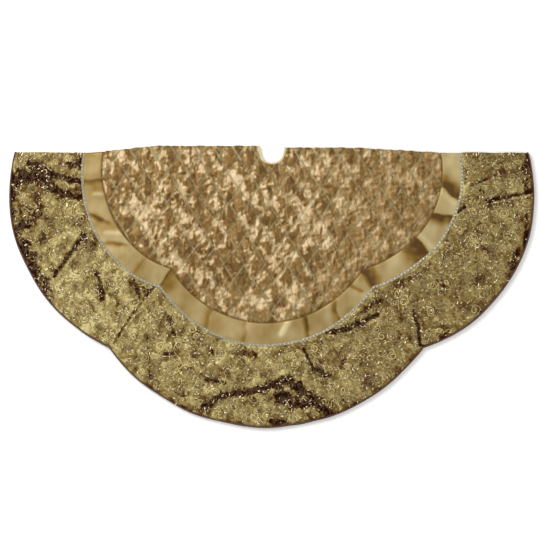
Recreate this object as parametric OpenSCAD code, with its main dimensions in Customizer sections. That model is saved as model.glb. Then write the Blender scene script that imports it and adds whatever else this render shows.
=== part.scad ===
// Round padded tree skirt with six scallops, folded in half as it is stored.
// The front half lies on top with its face up. The back half is cut by the slit
// into two flaps that lie under it, face down, and swing out about the fold.
// Origin: centre of the trunk hole, on the surface the skirt lies on. The fold
// runs along X, the front edge is towards -Y, and +Z is up.

/* [Border outline] */
// Radius of each side scallop
border_side_r = 382; // [376:1:388]
// Distance of each side scallop's centre from the middle line
border_side_x = 228; // [222:1:234]
// Distance of each side scallop's centre in front of the fold
border_side_y = 99; // [93:1:105]
// Radius of the scallop at the front
border_mid_r = 452; // [446:1:458]
// Distance of the front scallop's centre in front of the fold
border_mid_y = 189; // [185:1:195]

/* [Satin band outline] */
// Radius of each side scallop of the bead trim
band_side_r = 270; // [266:1:274]
// Distance of each side scallop's centre from the middle line
band_side_x = 174; // [170:1:178]
// Distance of each side scallop's centre in front of the fold
band_side_y = 56; // [53:1:59]
// Radius of the scallop at the front
band_mid_r = 297; // [294:1:300]
// Distance of the front scallop's centre in front of the fold
band_mid_y = 154; // [151:1:157]

/* [Quilted panel outline] */
// Radius of each side scallop
panel_side_r = 235; // [230:1:239]
// Distance of each side scallop's centre from the middle line
panel_side_x = 160; // [156:1:164]
// Distance of each side scallop's centre in front of the fold
panel_side_y = 45; // [41:1:49]
// Radius of the scallop at the front
panel_mid_r = 260; // [255:1:264]
// Distance of the front scallop's centre in front of the fold
panel_mid_y = 137; // [133:1:141]

/* [Trunk hole and slit] */
// Radius of the trunk hole
hole_r = 28; // [25:1:45]
// Width of the binding around the trunk hole
hole_binding_w = 4; // [3:0.5:8]
// Gap between the two edges of the slit
slit_gap = 2; // [1:0.5:4]
// Width of the facing and of the placket beside the slit
facing_w = 24; // [22:1:40]

/* [Cloth] */
// Thickness of the lining
lining_t = 1; // [0.5:0.1:1.5]
// Thickness of the batting
batting_t = 3; // [2:0.5:8]
// Thickness of the face cloth: quilting, satin or velvet
face_t = 2; // [1.5:0.5:4]
// Gap between the two folded layers
layer_gap = 1; // [1:0.5:4]
// Width of the bead trim
trim_w = 5; // [3:0.5:8]
// Width of the rolled hem
hem_w = 4; // [2:0.5:8]

/* [Closure] */
// Number of hook tapes, and of loop tapes
tape_count = 3; // [2:1:4]
// Width of a tape
tape_w = 20; // [10:1:20]
// Length of a tape
tape_l = 60; // [30:5:80]
// Thickness of a tape
tape_t = 1.2; // [0.8:0.1:1.5]
// Width of the care label
label_w = 28; // [20:1:40]
// Length of the care label
label_l = 45; // [30:1:70]

/* [Hidden] */
// Clear space between touching cloth pieces of one layer
seam = 0.2;
// Distance of every edge from the fold line
fold_clear = 1;
// Thickness of the care label
label_t = 0.4;
// Distance of the care label from the slit and from the trunk hole
label_x = 60;
label_y = 120;
// Larger than the whole skirt, for cutting shapes
reach = 2000;
// How far a mitre line runs past the outer cusp, as a share of its length
overrun = 0.4;

layer_t = lining_t + batting_t + face_t;
face_low = layer_t - face_t;
hinge_z = layer_t + layer_gap / 2;
bound_r = hole_r + hole_binding_w;
slit_x = slit_gap / 2;
facing_x = slit_x + facing_w;
slit_front = border_mid_y + border_mid_r - hem_w;
tape_pitch = (slit_front - bound_r) / tape_count;

// An outline is [side_r, side_x, side_y, mid_r, mid_y].
border = [border_side_r, border_side_x, border_side_y, border_mid_r, border_mid_y];
band = [band_side_r, band_side_x, band_side_y, band_mid_r, band_mid_y];
panel = [panel_side_r, panel_side_x, panel_side_y, panel_mid_r, panel_mid_y];

$fn = 180;

// ---- Outlines --------------------------------------------------------------

// Front cusp, right of the middle line, where two scallops of an outline meet.
function cusp(o) =
    let (
        dx = o[1],
        dy = o[4] - o[2],
        d = norm([dx, dy]),
        along = (d * d + o[3] * o[3] - o[0] * o[0]) / (2 * d),
        across = sqrt(o[3] * o[3] - along * along)
    )
    [(along * dx + across * dy) / d, -o[4] + (along * dy - across * dx) / d];

// Whole scalloped outline, with its edge drawn in by inset.
module outline(o, inset = 0) {
    for (side = [-1, 1])
        translate([side * o[1], -o[2]]) circle(r = o[0] - inset);
    translate([0, -o[4]]) circle(r = o[3] - inset);
}

// The half plane in front of the fold.
module before_fold() {
    translate([-reach, -reach - fold_clear]) square([2 * reach, reach]);
}

// The quarter plane on one side of the slit: side is -1 left or 1 right.
module beside_slit(side, from_x) {
    intersection() {
        before_fold();
        translate([side > 0 ? from_x : -from_x - reach, -reach]) square(reach);
    }
}

// The wedge between the two mitre lines that run through the cusps.
module centre_wedge(inset = 0) {
    inner = cusp(panel);
    outer = cusp(border);
    far = outer + overrun * (outer - inner);
    polygon([
        [-inner[0] + inset, inner[1]], [-far[0] + inset, far[1]], [0, -reach],
        [far[0] - inset, far[1]], [inner[0] - inset, inner[1]]
    ]);
}

// The part of a ring that belongs to one scallop: -1 left, 0 centre, 1 right.
module span(which) {
    intersection() {
        children();
        if (which == 0)
            centre_wedge(seam);
        else
            difference() {
                translate([which > 0 ? 0 : -reach, -reach]) square([reach, 2 * reach]);
                centre_wedge();
            }
    }
}

module satin_ring() {
    difference() {
        outline(band, trim_w + seam);
        outline(panel, -seam);
    }
}

module trim_ring() {
    difference() {
        outline(band);
        outline(band, trim_w);
    }
}

module velvet_ring() {
    difference() {
        outline(border, hem_w + seam);
        outline(band, -seam);
    }
}

module hem_ring() {
    difference() {
        outline(border);
        outline(border, hem_w);
    }
}

module hole_ring() {
    difference() {
        circle(r = bound_r);
        circle(r = hole_r);
    }
}

module panel_shape() {
    difference() {
        outline(panel);
        circle(r = bound_r + seam);
    }
}

// Batting and lining fill the layer out to the hem.
module filler_shape() {
    difference() {
        outline(border, hem_w + seam);
        circle(r = bound_r + seam);
    }
}

// ---- Layers ----------------------------------------------------------------

// Both layers are given by height above their lining side.
module front_layer(low, high) {
    translate([0, 0, layer_t + layer_gap + low])
        linear_extrude(high - low)
            intersection() {
                children();
                before_fold();
            }
}

module flap_layer(side, low, high, from_x = slit_x) {
    translate([0, 0, layer_t - high])
        linear_extrude(high - low)
            intersection() {
                children();
                beside_slit(side, from_x);
            }
}

// ---- Front half ------------------------------------------------------------

module front_quilted_panel() {
    color("rosybrown") front_layer(face_low, layer_t) panel_shape();
}

module front_batting() {
    color("ivory") front_layer(lining_t, face_low) filler_shape();
}

module front_lining() {
    color("tan") front_layer(0, lining_t) filler_shape();
}

module front_satin(which) {
    color("darkkhaki") front_layer(face_low, layer_t) span(which) satin_ring();
}

module front_bead_trim(which) {
    color("silver") front_layer(face_low, layer_t) span(which) trim_ring();
}

module front_velvet(which) {
    color("olivedrab") front_layer(face_low, layer_t) span(which) velvet_ring();
}

module front_hem(which) {
    color("maroon") front_layer(0, layer_t) span(which) hem_ring();
}

module front_hole_binding() {
    color("darkkhaki") front_layer(0, layer_t) hole_ring();
}

// ---- Back flaps ------------------------------------------------------------

// The face cloth of the right flap stops at the placket.
function face_from(side) = side > 0 ? facing_x + seam : slit_x;

module flap_quilted_panel(side) {
    color("rosybrown")
        flap_layer(side, face_low, layer_t, face_from(side)) panel_shape();
}

module flap_batting(side) {
    color("ivory")
        flap_layer(side, lining_t, face_low, facing_x + seam) filler_shape();
}

module flap_lining(side) {
    color("tan") flap_layer(side, 0, lining_t, facing_x + seam) filler_shape();
}

// part is the scallop a piece belongs to: 0 centre, or the flap's own side.
module flap_satin(side, part) {
    color("darkkhaki")
        flap_layer(side, face_low, layer_t, face_from(side)) span(part) satin_ring();
}

module flap_bead_trim(side, part) {
    color("silver")
        flap_layer(side, face_low, layer_t, face_from(side)) span(part) trim_ring();
}

module flap_velvet(side, part) {
    color("olivedrab")
        flap_layer(side, face_low, layer_t, face_from(side)) span(part) velvet_ring();
}

module flap_hem(side, part) {
    color("maroon") flap_layer(side, 0, layer_t) span(part) hem_ring();
}

module flap_hole_binding(side) {
    color("darkkhaki") flap_layer(side, 0, layer_t) hole_ring();
}

// ---- Slit and closure ------------------------------------------------------

// The strip beside the slit, from the hole binding to the hem.
module slit_strip(side) {
    intersection() {
        filler_shape();
        translate([side > 0 ? slit_x : -facing_x, -reach]) square([facing_w, reach]);
    }
}

// Tapes spaced evenly along the middle of the strip.
module tape_row(side) {
    for (i = [0 : tape_count - 1])
        translate([side * (facing_x + slit_x) / 2, -bound_r - (i + 0.5) * tape_pitch])
            square([tape_w, tape_l], center = true);
}

module slit_facing() {
    color("tan") flap_layer(-1, tape_t, face_low) slit_strip(-1);
}

module hook_tapes() {
    color("dimgray") flap_layer(-1, 0, tape_t) tape_row(-1);
}

module slit_placket() {
    color("darkkhaki") flap_layer(1, 0, face_low) slit_strip(1);
}

module loop_tapes() {
    color("gray") flap_layer(1, face_low, face_low + tape_t) tape_row(1);
}

module care_label() {
    color("white")
        flap_layer(1, -label_t, 0)
            translate([label_x, -label_y - label_l]) square([label_w, label_l]);
}

// ---- Nodes -----------------------------------------------------------------

front_quilted_panel();
front_batting();
front_lining();
front_satin(-1);  // front_satin_left
front_satin(0);  // front_satin_centre
front_satin(1);  // front_satin_right
front_bead_trim(-1);  // front_bead_trim_left
front_bead_trim(0);  // front_bead_trim_centre
front_bead_trim(1);  // front_bead_trim_right
front_velvet(-1);  // front_velvet_left
front_velvet(0);  // front_velvet_centre
front_velvet(1);  // front_velvet_right
front_hem(-1);  // front_hem_left
front_hem(0);  // front_hem_centre
front_hem(1);  // front_hem_right
front_hole_binding();

flap_quilted_panel(-1);  // back_left_quilted_panel
flap_batting(-1);  // back_left_batting
flap_lining(-1);  // back_left_lining
flap_satin(-1, -1);  // back_left_satin_side
flap_satin(-1, 0);  // back_left_satin_centre
flap_bead_trim(-1, -1);  // back_left_bead_trim_side
flap_bead_trim(-1, 0);  // back_left_bead_trim_centre
flap_velvet(-1, -1);  // back_left_velvet_side
flap_velvet(-1, 0);  // back_left_velvet_centre
flap_hem(-1, -1);  // back_left_hem_side
flap_hem(-1, 0);  // back_left_hem_centre
flap_hole_binding(-1);  // back_left_hole_binding
slit_facing();
hook_tapes();

flap_quilted_panel(1);  // back_right_quilted_panel
flap_batting(1);  // back_right_batting
flap_lining(1);  // back_right_lining
flap_satin(1, 1);  // back_right_satin_side
flap_satin(1, 0);  // back_right_satin_centre
flap_bead_trim(1, 1);  // back_right_bead_trim_side
flap_bead_trim(1, 0);  // back_right_bead_trim_centre
flap_velvet(1, 1);  // back_right_velvet_side
flap_velvet(1, 0);  // back_right_velvet_centre
flap_hem(1, 1);  // back_right_hem_side
flap_hem(1, 0);  // back_right_hem_centre
flap_hole_binding(1);  // back_right_hole_binding
slit_placket();
loop_tapes();
care_label();
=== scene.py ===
"""A padded tree skirt, folded in half and lying flat, seen from straight above.

Every cloth is first laid out on an opened, flat skirt: x to the right, y negative on the front
half and positive on the back half, h the height of its face. place() then folds that plan along
the hinge line, so that the front half lies face up on the back half, which lies face down.
Lengths are in millimetres until a mesh is made.
"""

import math

import bpy
import numpy as np
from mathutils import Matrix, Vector


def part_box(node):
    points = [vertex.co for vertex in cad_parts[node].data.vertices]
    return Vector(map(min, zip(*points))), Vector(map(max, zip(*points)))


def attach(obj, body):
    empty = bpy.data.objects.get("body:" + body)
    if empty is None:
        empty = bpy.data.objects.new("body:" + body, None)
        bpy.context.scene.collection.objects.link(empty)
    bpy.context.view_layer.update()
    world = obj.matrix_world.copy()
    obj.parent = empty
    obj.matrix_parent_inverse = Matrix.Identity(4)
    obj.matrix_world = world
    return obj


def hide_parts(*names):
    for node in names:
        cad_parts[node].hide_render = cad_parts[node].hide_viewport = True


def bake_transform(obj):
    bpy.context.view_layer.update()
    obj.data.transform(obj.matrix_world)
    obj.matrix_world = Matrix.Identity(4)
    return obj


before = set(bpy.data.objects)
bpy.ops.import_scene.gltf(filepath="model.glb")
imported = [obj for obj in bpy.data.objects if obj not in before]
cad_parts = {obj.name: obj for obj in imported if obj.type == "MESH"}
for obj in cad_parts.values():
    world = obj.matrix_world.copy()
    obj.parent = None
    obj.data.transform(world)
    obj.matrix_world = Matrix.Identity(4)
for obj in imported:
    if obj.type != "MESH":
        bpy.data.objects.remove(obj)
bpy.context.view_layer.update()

MM = 0.001
PARTS = ("left", "centre", "right")
MIDDLE = (0.0, -60.0)   # a point inside the front half, used to tell which way is outwards
FOLD = 20.0          # half the width of the strip that bends round the fold
FRONT_Z = 10.8       # the lowest level of the front half's face
BACK_Z = 4.8         # and of the back half's face, which looks down
PRESS = 5.0          # how softly the back half's relief is pressed against the floor
LINING_TOP = 7.0     # the front half's lining
LINING_LOW = 6.0     # the back half's lining
HOLE_X = 29.0        # half the width and height of the trunk hole
HOLE_Y = 26.0
SLIT_LEFT = -1.0     # the slit's left edge, and where the right flap's face cloth starts
SLIT_RIGHT = 25.2


# ---------------------------------------------------------------- numbers

def smooth(t):
    t = np.clip(t, 0.0, 1.0)
    return t * t * (3 - 2 * t)


def hashed(ix, iy, seed):
    n = (ix * 374761393 + iy * 668265263 + seed * 974634777) & 0xFFFFFFFF
    n = ((n ^ (n >> 13)) * 1274126177) & 0xFFFFFFFF
    return ((n ^ (n >> 16)) & 0xFFFF) / 65535.0


def noise(x, y, size, seed):
    """Gradient noise, about -1 to 1, with lumps `size` apart."""
    turn = 0.6 + seed * 1.7
    gx = (x * math.cos(turn) - y * math.sin(turn)) / size
    gy = (x * math.sin(turn) + y * math.cos(turn)) / size
    ix = np.floor(gx).astype(np.int64)
    iy = np.floor(gy).astype(np.int64)
    fx, fy = gx - ix, gy - iy
    ux = fx * fx * fx * (fx * (fx * 6 - 15) + 10)
    uy = fy * fy * fy * (fy * (fy * 6 - 15) + 10)

    def corner(i, j):
        angle = hashed(ix + i, iy + j, seed) * 2 * math.pi
        return np.cos(angle) * (fx - i) + np.sin(angle) * (fy - j)

    low = corner(0, 0) * (1 - ux) + corner(1, 0) * ux
    high = corner(0, 1) * (1 - ux) + corner(1, 1) * ux
    return (low * (1 - uy) + high * uy) * 1.5


def facets(x, y, size, seed):
    """Noise made of flat triangles, -1 to 1, as creased foil has."""
    u = (x + y * 0.57735) / size
    v = y * 1.1547 / size
    iu = np.floor(u).astype(np.int64)
    iv = np.floor(v).astype(np.int64)
    fu, fv = u - iu, v - iv
    low = hashed(iu, iv, seed) * (1 - fu - fv)
    low = low + hashed(iu + 1, iv, seed) * fu + hashed(iu, iv + 1, seed) * fv
    high = hashed(iu + 1, iv + 1, seed) * (fu + fv - 1)
    high = high + hashed(iu + 1, iv, seed) * (1 - fv) + hashed(iu, iv + 1, seed) * (1 - fu)
    return 2 * np.where(fu + fv > 1, high, low) - 1


def off_line(x, y, x1, y1, x2, y2):
    """How far points are from a line between two points."""
    dx, dy = x2 - x1, y2 - y1
    t = np.clip(((x - x1) * dx + (y - y1) * dy) / (dx * dx + dy * dy), 0, 1)
    return np.hypot(x - x1 - t * dx, y - y1 - t * dy)


def same_shape(*values):
    """Numbers and arrays as float arrays of one shape."""
    return np.broadcast_arrays(*(np.asarray(value, float) for value in values))


def coordinates(mesh):
    """A mesh's points, a row for each."""
    co = np.zeros(len(mesh.vertices) * 3)
    mesh.vertices.foreach_get("co", co)
    return co.reshape(-1, 3)


# ---------------------------------------------------------------- outlines, from the CAD nodes

def node_points(name):
    return coordinates(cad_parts[name].data) / MM


def circle_through(p):
    """Centre and radius of the circle nearest to some points."""
    a = np.column_stack([p[:, 0], p[:, 1], np.ones(len(p))])
    b = (p[:, :2] ** 2).sum(1)
    sol = np.linalg.lstsq(a, b, rcond=None)[0]
    cx, cy = sol[0] / 2, sol[1] / 2
    return cx, cy, math.sqrt(sol[2] + cx * cx + cy * cy)


def disc(node, outer=True):
    """The circle of a ring segment's outer or inner edge: its furthest or nearest points in each
    direction from the skirt's middle, without those on its ends."""
    p = node_points(node)
    p = p[p[:, 1] < -2]
    turn = np.arctan2(p[:, 1] - MIDDLE[1], p[:, 0])
    far = np.hypot(p[:, 0], p[:, 1] - MIDDLE[1])
    bins = np.floor(turn / math.radians(1.5)).astype(int)
    kept = []
    for b in np.unique(bins):
        here = np.flatnonzero(bins == b)
        kept.append(here[far[here].argmax() if outer else far[here].argmin()])
    kept = p[kept]
    for limit in (8.0, 3.0, 1.0, 0.5, 0.3):
        cx, cy, r = circle_through(kept)
        off = np.abs(np.hypot(kept[:, 0] - cx, kept[:, 1] - cy) - r)
        kept = kept[off < max(limit, np.median(off) * 1.5)]
    return circle_through(kept)


OUTLINE = [disc("front_hem_" + part) for part in PARTS]
BAND = [disc("front_bead_trim_" + part) for part in PARTS]
PANEL = [disc("front_satin_" + part, outer=False) for part in PARTS]


def inside(discs, x, y):
    """How far points are inside an outline, the same for the front and the back half."""
    ay = -np.abs(y)
    depth = [r - np.hypot(x - cx, ay - cy) for cx, cy, r in discs]
    return np.maximum(np.maximum(depth[0], depth[1]), depth[2])


def off_hole(x, y):
    """How far points are outside the trunk hole."""
    return (np.hypot(x / HOLE_X, y / HOLE_Y) - 1) * HOLE_Y


def cusp(discs, left):
    """Where two neighbouring scallops meet."""
    a = discs[0] if left else discs[2]
    b = discs[1]
    dx, dy = b[0] - a[0], b[1] - a[1]
    gap = math.hypot(dx, dy)
    along = (a[2] ** 2 - b[2] ** 2 + gap * gap) / (2 * gap)
    side = math.sqrt(max(a[2] ** 2 - along ** 2, 0.0))
    options = []
    for sign in (1, -1):
        options.append((a[0] + along * dx / gap - sign * side * dy / gap,
                        a[1] + along * dy / gap + sign * side * dx / gap))
    return min(options, key=lambda p: p[1])


def arc_angles(discs, part, start_x=None, stop_x=None):
    """The first and last angle of one scallop's edge, on the front half."""
    cx, cy, r = discs[PARTS.index(part)]
    full = 2 * math.pi

    def to(point):
        return math.atan2(point[1] - cy, point[0] - cx) % full

    if part == "left":
        first, last = math.pi - math.asin((-FOLD - cy) / r), to(cusp(discs, True))
    elif part == "centre":
        first, last = to(cusp(discs, True)), to(cusp(discs, False))
    else:
        first, last = to(cusp(discs, False)) - full, math.asin((-FOLD - cy) / r)
    if start_x is not None:
        first = full - math.acos((start_x - cx) / r)
    if stop_x is not None:
        last = full - math.acos((stop_x - cx) / r)
    return first, last


def arc(discs, part, count, start_x=None, stop_x=None):
    """Points along one scallop's edge, on the front half."""
    cx, cy, r = discs[PARTS.index(part)]
    first, last = arc_angles(discs, part, start_x, stop_x)
    angle = np.linspace(first, last, count)
    return np.column_stack([cx + r * np.cos(angle), cy + r * np.sin(angle)])


def grown(discs, by):
    return [(cx, cy, r + by) for cx, cy, r in discs]


# ---------------------------------------------------------------- folding the flat plan

def fold_share(y):
    """How far across the fold's strip a place is: 0 on the front half and 1 on the back half."""
    return np.clip((y + FOLD) / (2 * FOLD), 0, 1)


def reach(x):
    """How far the fold stands beyond the hinge line."""
    left = -3.5 + 15.5 * smooth((445 - np.abs(x)) / 200)
    right = -4.5 + 12.5 * smooth((450 - x) / 300)
    return np.where(x < 0, left, right)


def wrap(share, apex, top, low):
    """The section round the fold, from the front half's level to the back half's.
    Gives y, z, the outward normal and how far the turn is done."""
    radius = (top - low) / 2
    straight = FOLD + apex - radius
    s = share * (2 * straight + math.pi * radius)
    turn = np.clip((s - straight) / radius, 0, math.pi)
    y = np.where(s < straight, s - FOLD, apex - radius + radius * np.sin(turn))
    past = s - straight - math.pi * radius
    y = np.where(past > 0, apex - radius - past, y)
    z = (top + low) / 2 + radius * np.cos(turn)
    return y, z, np.sin(turn), np.cos(turn), turn / math.pi


def strip_length(x):
    radius = (FRONT_Z - BACK_Z) / 2
    return 2 * (FOLD + reach(x) - radius) + math.pi * radius


def pattern_y(x, y):
    """The place of a flat point on the cloth itself, which has more length where the fold bulges."""
    past = np.maximum(y - FOLD, 0)
    return np.where(y <= -FOLD, y, -FOLD + fold_share(y) * strip_length(x) + past)


def lay(x, y):
    """How the cloth shifted when it was laid down: its lower middle slid left, and its rim wavers."""
    ay = np.abs(y)
    slide = smooth((ay - 120) / 230) * (1 - smooth((np.abs(x) - 330) / 230))
    rim = smooth((np.hypot(x, y) - 280) / 220)
    lx = x - 13 * slide + 3.2 * rim * noise(x, ay, 120, 3)
    ly = y + 3.2 * rim * noise(x, ay, 120, 4) * smooth((ay - FOLD) / 70)
    return lx, ly


def shrink(y):
    """The back half is cut a hair smaller, so it stays hidden under the front."""
    return 1 - 0.004 * fold_share(y)


def place(x, y, h):
    """Flat points with a face height, folded to where they lie. Beside the slit the face is pressed
    thin, over the facing, and just past the fold's turn it is sunk a little, so that the front's
    edge covers it when the flap is opened."""
    x, y, h = same_shape(x, y, h)
    h = np.maximum(h, 0)
    pressed = BACK_Z * (1 - np.exp(-h / PRESS))
    strip = smooth((x + 30) / 4.5) * (x < SLIT_RIGHT - 1) * (y > FOLD)
    pressed = pressed + strip * (2.6 - 0.58 * pressed)
    lx, ly = lay(x, y)
    wy, wz, ny, nz, turned = wrap(fold_share(y), reach(x), FRONT_Z, BACK_Z)
    k = smooth(turned * 2 - 1)
    out = h * (1 - k) + pressed * k
    out = np.maximum(out - 1.2 * k * smooth((FOLD - y) / 8), 0) * (1 - 0.4 * ny * ny)
    front, back = y <= -FOLD, y >= FOLD
    px = lx * shrink(y)
    py = np.where(front, ly, np.where(back, -ly * shrink(y), wy + ny * out))
    pz = np.where(front, FRONT_Z + h, np.where(back, BACK_Z - pressed, wz + nz * out))
    return np.stack([px, py, pz], -1)


def place_depth(x, y, v):
    """The same for a place in the thickness: v is 0 at the lining and 1 at the face."""
    x, y, v = same_shape(x, y, v)
    top, low = LINING_TOP + 6.2 * v, LINING_LOW - 5.9 * v
    lx, ly = lay(x, y)
    wy, wz, _, _, _ = wrap(fold_share(y), reach(x) - 2.5 + 6 * v, top, low)
    front, back = y <= -FOLD, y >= FOLD
    px = lx * shrink(y)
    py = np.where(front, ly, np.where(back, -ly * shrink(y), wy))
    pz = np.where(front, top, np.where(back, low, wz))
    return np.stack([px, py, pz], -1)


# ---------------------------------------------------------------- relief and tone of each cloth

DIAMOND_W, DIAMOND_H = 47.3, 71.0
NODE_X, NODE_Y = 63.8, -297.0
LINE_SLOPE = math.hypot(1 / DIAMOND_W, 1 / DIAMOND_H)


def wander(x, y):
    """How far the quilting lines stray, as the cloth puckers."""
    dx = 4.5 * noise(x, y, 110, 11) + 1.5 * noise(x, y, 30, 9)
    return dx, 4.5 * noise(x, y, 110, 12) + 1.5 * noise(x, y, 30, 10)


def quilt_lines(x, y):
    """The two families of quilting lines: whole numbers of u and of v."""
    dx, dy = wander(x, y)
    wx, wy = x + dx, y + dy
    u = (wx - NODE_X) / DIAMOND_W + (wy - NODE_Y) / DIAMOND_H
    v = (wx - NODE_X) / DIAMOND_W - (wy - NODE_Y) / DIAMOND_H
    return u, v


SWELL_STEP = 6.0
SWELL_X = np.arange(-408.0, 409.0, SWELL_STEP)
SWELL_P = np.arange(-408.0, 457.0, SWELL_STEP)


def loose_taffeta(x, p):
    """A flat grid of cloth in metres, with the points beside the quilting lines in a pin group."""
    n, m = x.shape
    u, v = quilt_lines(x, p)
    off = np.minimum(np.abs(u - np.round(u)), np.abs(v - np.round(v))) / LINE_SLOPE
    start = 0.15 * noise(x, p, 14, 6) + 0.3 * np.minimum(off / 20, 1)
    points = np.stack([x, p, start], -1).reshape(-1, 3) * MM
    i, j = (k.ravel() for k in np.meshgrid(np.arange(n - 1), np.arange(m - 1), indexing="ij"))
    a, b, c, d = i * m + j, (i + 1) * m + j, (i + 1) * m + j + 1, i * m + j + 1
    odd = ((i + j) % 2 == 1)[:, None]
    one = np.where(odd, np.column_stack([a, b, d]), np.column_stack([a, b, c]))
    two = np.where(odd, np.column_stack([b, c, d]), np.column_stack([a, c, d]))
    mesh = bpy.data.meshes.new("loose_taffeta")
    mesh.from_pydata(points.tolist(), [], np.concatenate([one, two]).tolist())
    obj = bpy.data.objects.new("loose_taffeta", mesh)
    bpy.context.scene.collection.objects.link(obj)
    group = obj.vertex_groups.new(name="stitched")
    group.add(np.flatnonzero(off.ravel() < SWELL_STEP * 0.45).tolist(), 1.0, "REPLACE")
    return obj


def swollen_taffeta():
    """Cloth simulation: the taffeta is 5% too big for its lining and batting presses it up, so it
    puckers between the quilting lines. Gives its height over the flat pattern."""
    x, p = np.meshgrid(SWELL_X, SWELL_P, indexing="ij")
    obj = loose_taffeta(x, p)
    cloth = obj.modifiers.new("cloth", "CLOTH")
    s = cloth.settings
    s.quality = 5
    s.mass = 0.15
    s.tension_stiffness = s.compression_stiffness = 12
    s.shear_stiffness = s.shear_damping = 5
    s.bending_stiffness = 4.0
    s.tension_damping = s.compression_damping = 8
    s.bending_damping = 0.5
    s.air_damping = 2
    s.vertex_group_mass = "stitched"
    s.shrink_min = -0.05
    s.use_pressure = True
    s.uniform_pressure_force = 3.0
    s.effector_weights.gravity = 0
    cloth.collision_settings.use_collision = False
    for step in range(1, 17):
        bpy.context.scene.frame_set(step)
    shown = obj.evaluated_get(bpy.context.evaluated_depsgraph_get())
    swollen = coordinates(shown.to_mesh())
    shown.to_mesh_clear()
    flat = obj.data
    bpy.data.objects.remove(obj)
    bpy.data.meshes.remove(flat)
    bpy.context.scene.frame_set(1)
    return np.clip(swollen.reshape(*x.shape, 3)[..., 2] / MM, -1.3, 7.0)


SWOLLEN = swollen_taffeta()


def swell(x, p):
    """The simulated height at places on the pattern."""
    u = np.clip((x - SWELL_X[0]) / SWELL_STEP, 0, len(SWELL_X) - 1.001)
    v = np.clip((p - SWELL_P[0]) / SWELL_STEP, 0, len(SWELL_P) - 1.001)
    i, j = np.floor(u).astype(int), np.floor(v).astype(int)
    fu, fv = u - i, v - j
    near = SWOLLEN[i, j] * (1 - fv) + SWOLLEN[i, j + 1] * fv
    far = SWOLLEN[i + 1, j] * (1 - fv) + SWOLLEN[i + 1, j + 1] * fv
    return near * (1 - fu) + far * fu


def shards(x, p):
    """Creased-foil relief: flat facets at three sizes, longer up and down the cloth."""
    sx = x + 9 * noise(x, p, 34, 13) + 3 * noise(x, p, 13, 18)
    sy = p * 0.62 + 7 * noise(x, p, 38, 14) + 3 * noise(x, p, 12, 19)
    h = 2.3 * facets(sx, sy, 23, 15)
    h = h + 1.25 * facets(sx * 0.8 + sy * 0.6, sy * 0.8 - sx * 0.6, 11, 16)
    return h + 0.42 * facets(sx * 0.5 - sy * 0.87, sy * 0.5 + sx * 0.87, 5.5, 20)


def quilt_height(x, y):
    p = pattern_y(x, y)
    u, v = quilt_lines(x, p)
    du = np.abs(u - np.round(u)) / LINE_SLOPE
    dv = np.abs(v - np.round(v)) / LINE_SLOPE
    puff = 0.62 * swell(x, p)
    near = np.exp(-(np.minimum(du, dv) / 2.6) ** 2)
    lively = 0.30 + 0.70 * smooth(1.6 * noise(x, p, 55, 17) + 0.55)
    lively = lively * (1 - 0.25 * smooth((x - 40) / 200))
    h = 2.0 + puff + 0.6 * shards(x, p) * lively * (1 - 0.45 * near) - 1.0 * near
    edge = smooth(inside(PANEL, x, y) / 7.0)
    rim = smooth((off_hole(x, y) - 2) / 8.0)
    return np.maximum(h * edge * (0.3 + 0.7 * rim), 0.0) + 0.1


def creased(x, p):
    return 0.7 * shards(x, p) + 0.9 * swell(x, p)


def slopes(height, x, y, step=0.8):
    hx = (height(x + step, y) - height(x - step, y)) / (2 * step)
    hy = (height(x, y + step) - height(x, y - step)) / (2 * step)
    return hx, hy


def turn_shade(x, y):
    """A mask for painted shade along the pressed turn of the fold: 1 at its outermost line."""
    return np.exp(-((fold_share(y) - 0.5) * strip_length(x) / 2.4) ** 2)


def thread_lines(x, y, size, seed, width):
    """Thin wandering lines, 1 on a line and 0 off it."""
    return np.exp(-(noise(x, y, size, seed) / width) ** 2)


def quilt_tone(x, y):
    """How light the shot taffeta shows, most of it painted light: facets that lean towards the key light at
    the upper left, and random shards, are painted lighter; thin crease ridges are painted light and creases
    painted dark; a painted shadow runs along the satin seam and painted shade along the fold's turn.
    """
    p = pattern_y(x, y)
    hx, hy = slopes(creased, x, p, 1.4)
    right = smooth((x + 20) / 260)
    lively = 1.0 - 0.5 * right - 0.2 * smooth((-y - 250) / 100)
    sx = x + 8 * noise(x, p, 30, 26) + 3 * noise(x, p, 11, 28)
    sy = p * 0.55 + 6 * noise(x, p, 34, 27)
    painted_shard_light = facets(sx, sy, 17, 21) + 0.45 * facets(sx * 0.7 - sy * 0.7, sx * 0.7 + sy * 0.7, 9, 22)
    group = noise(x, p, 75, 23)
    # Painted highlight: slopes facing the key light at the upper left, and random shards, are painted
    # lighter; bright holds this painted light.
    level = 1.5 * (0.75 * hx - 0.6 * hy) + 1.15 * painted_shard_light * (1 - 0.45 * right)
    bright = smooth((0.20 + 0.12 * right + lively * level + 0.45 * group * (1 - 0.7 * right)) * 1.25 - 0.06)
    # Painted light and shade: thin crease ridges are painted light (creases), and the creases themselves
    # painted dark (dents and fine lines).
    creases = thread_lines(x, p * 0.6, 30, 24, 0.035) + thread_lines(x * 1.2, p * 0.5, 17, 25, 0.04)
    painted_crease_shade = thread_lines(x * 0.9 + p * 0.25, p * 0.5, 13, 29, 0.05)
    fine = thread_lines(x * 0.8 - p * 0.5, p * 0.6 + x * 0.3, 9, 8, 0.07)
    tone = 0.20 + 0.68 * bright + 0.26 * creases - (0.16 + 0.16 * right) * painted_crease_shade * (0.4 + 0.6 * bright)
    tone = tone - 0.14 * right * fine - 0.03 * right
    calm = 1 - 0.24 * right - 0.14 * smooth((-y - 250) / 100)
    tone = 0.46 + (tone - 0.46) * calm
    # Painted shadow along the seam where the quilted panel meets the satin, and painted shade along the
    # fold's turn.
    seam = 1 - smooth((inside(PANEL, x, y) - 0.5) / 3.0)
    return np.clip(tone * (1 - 0.85 * seam) - 0.2 * turn_shade(x, y), 0, 1)


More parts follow.
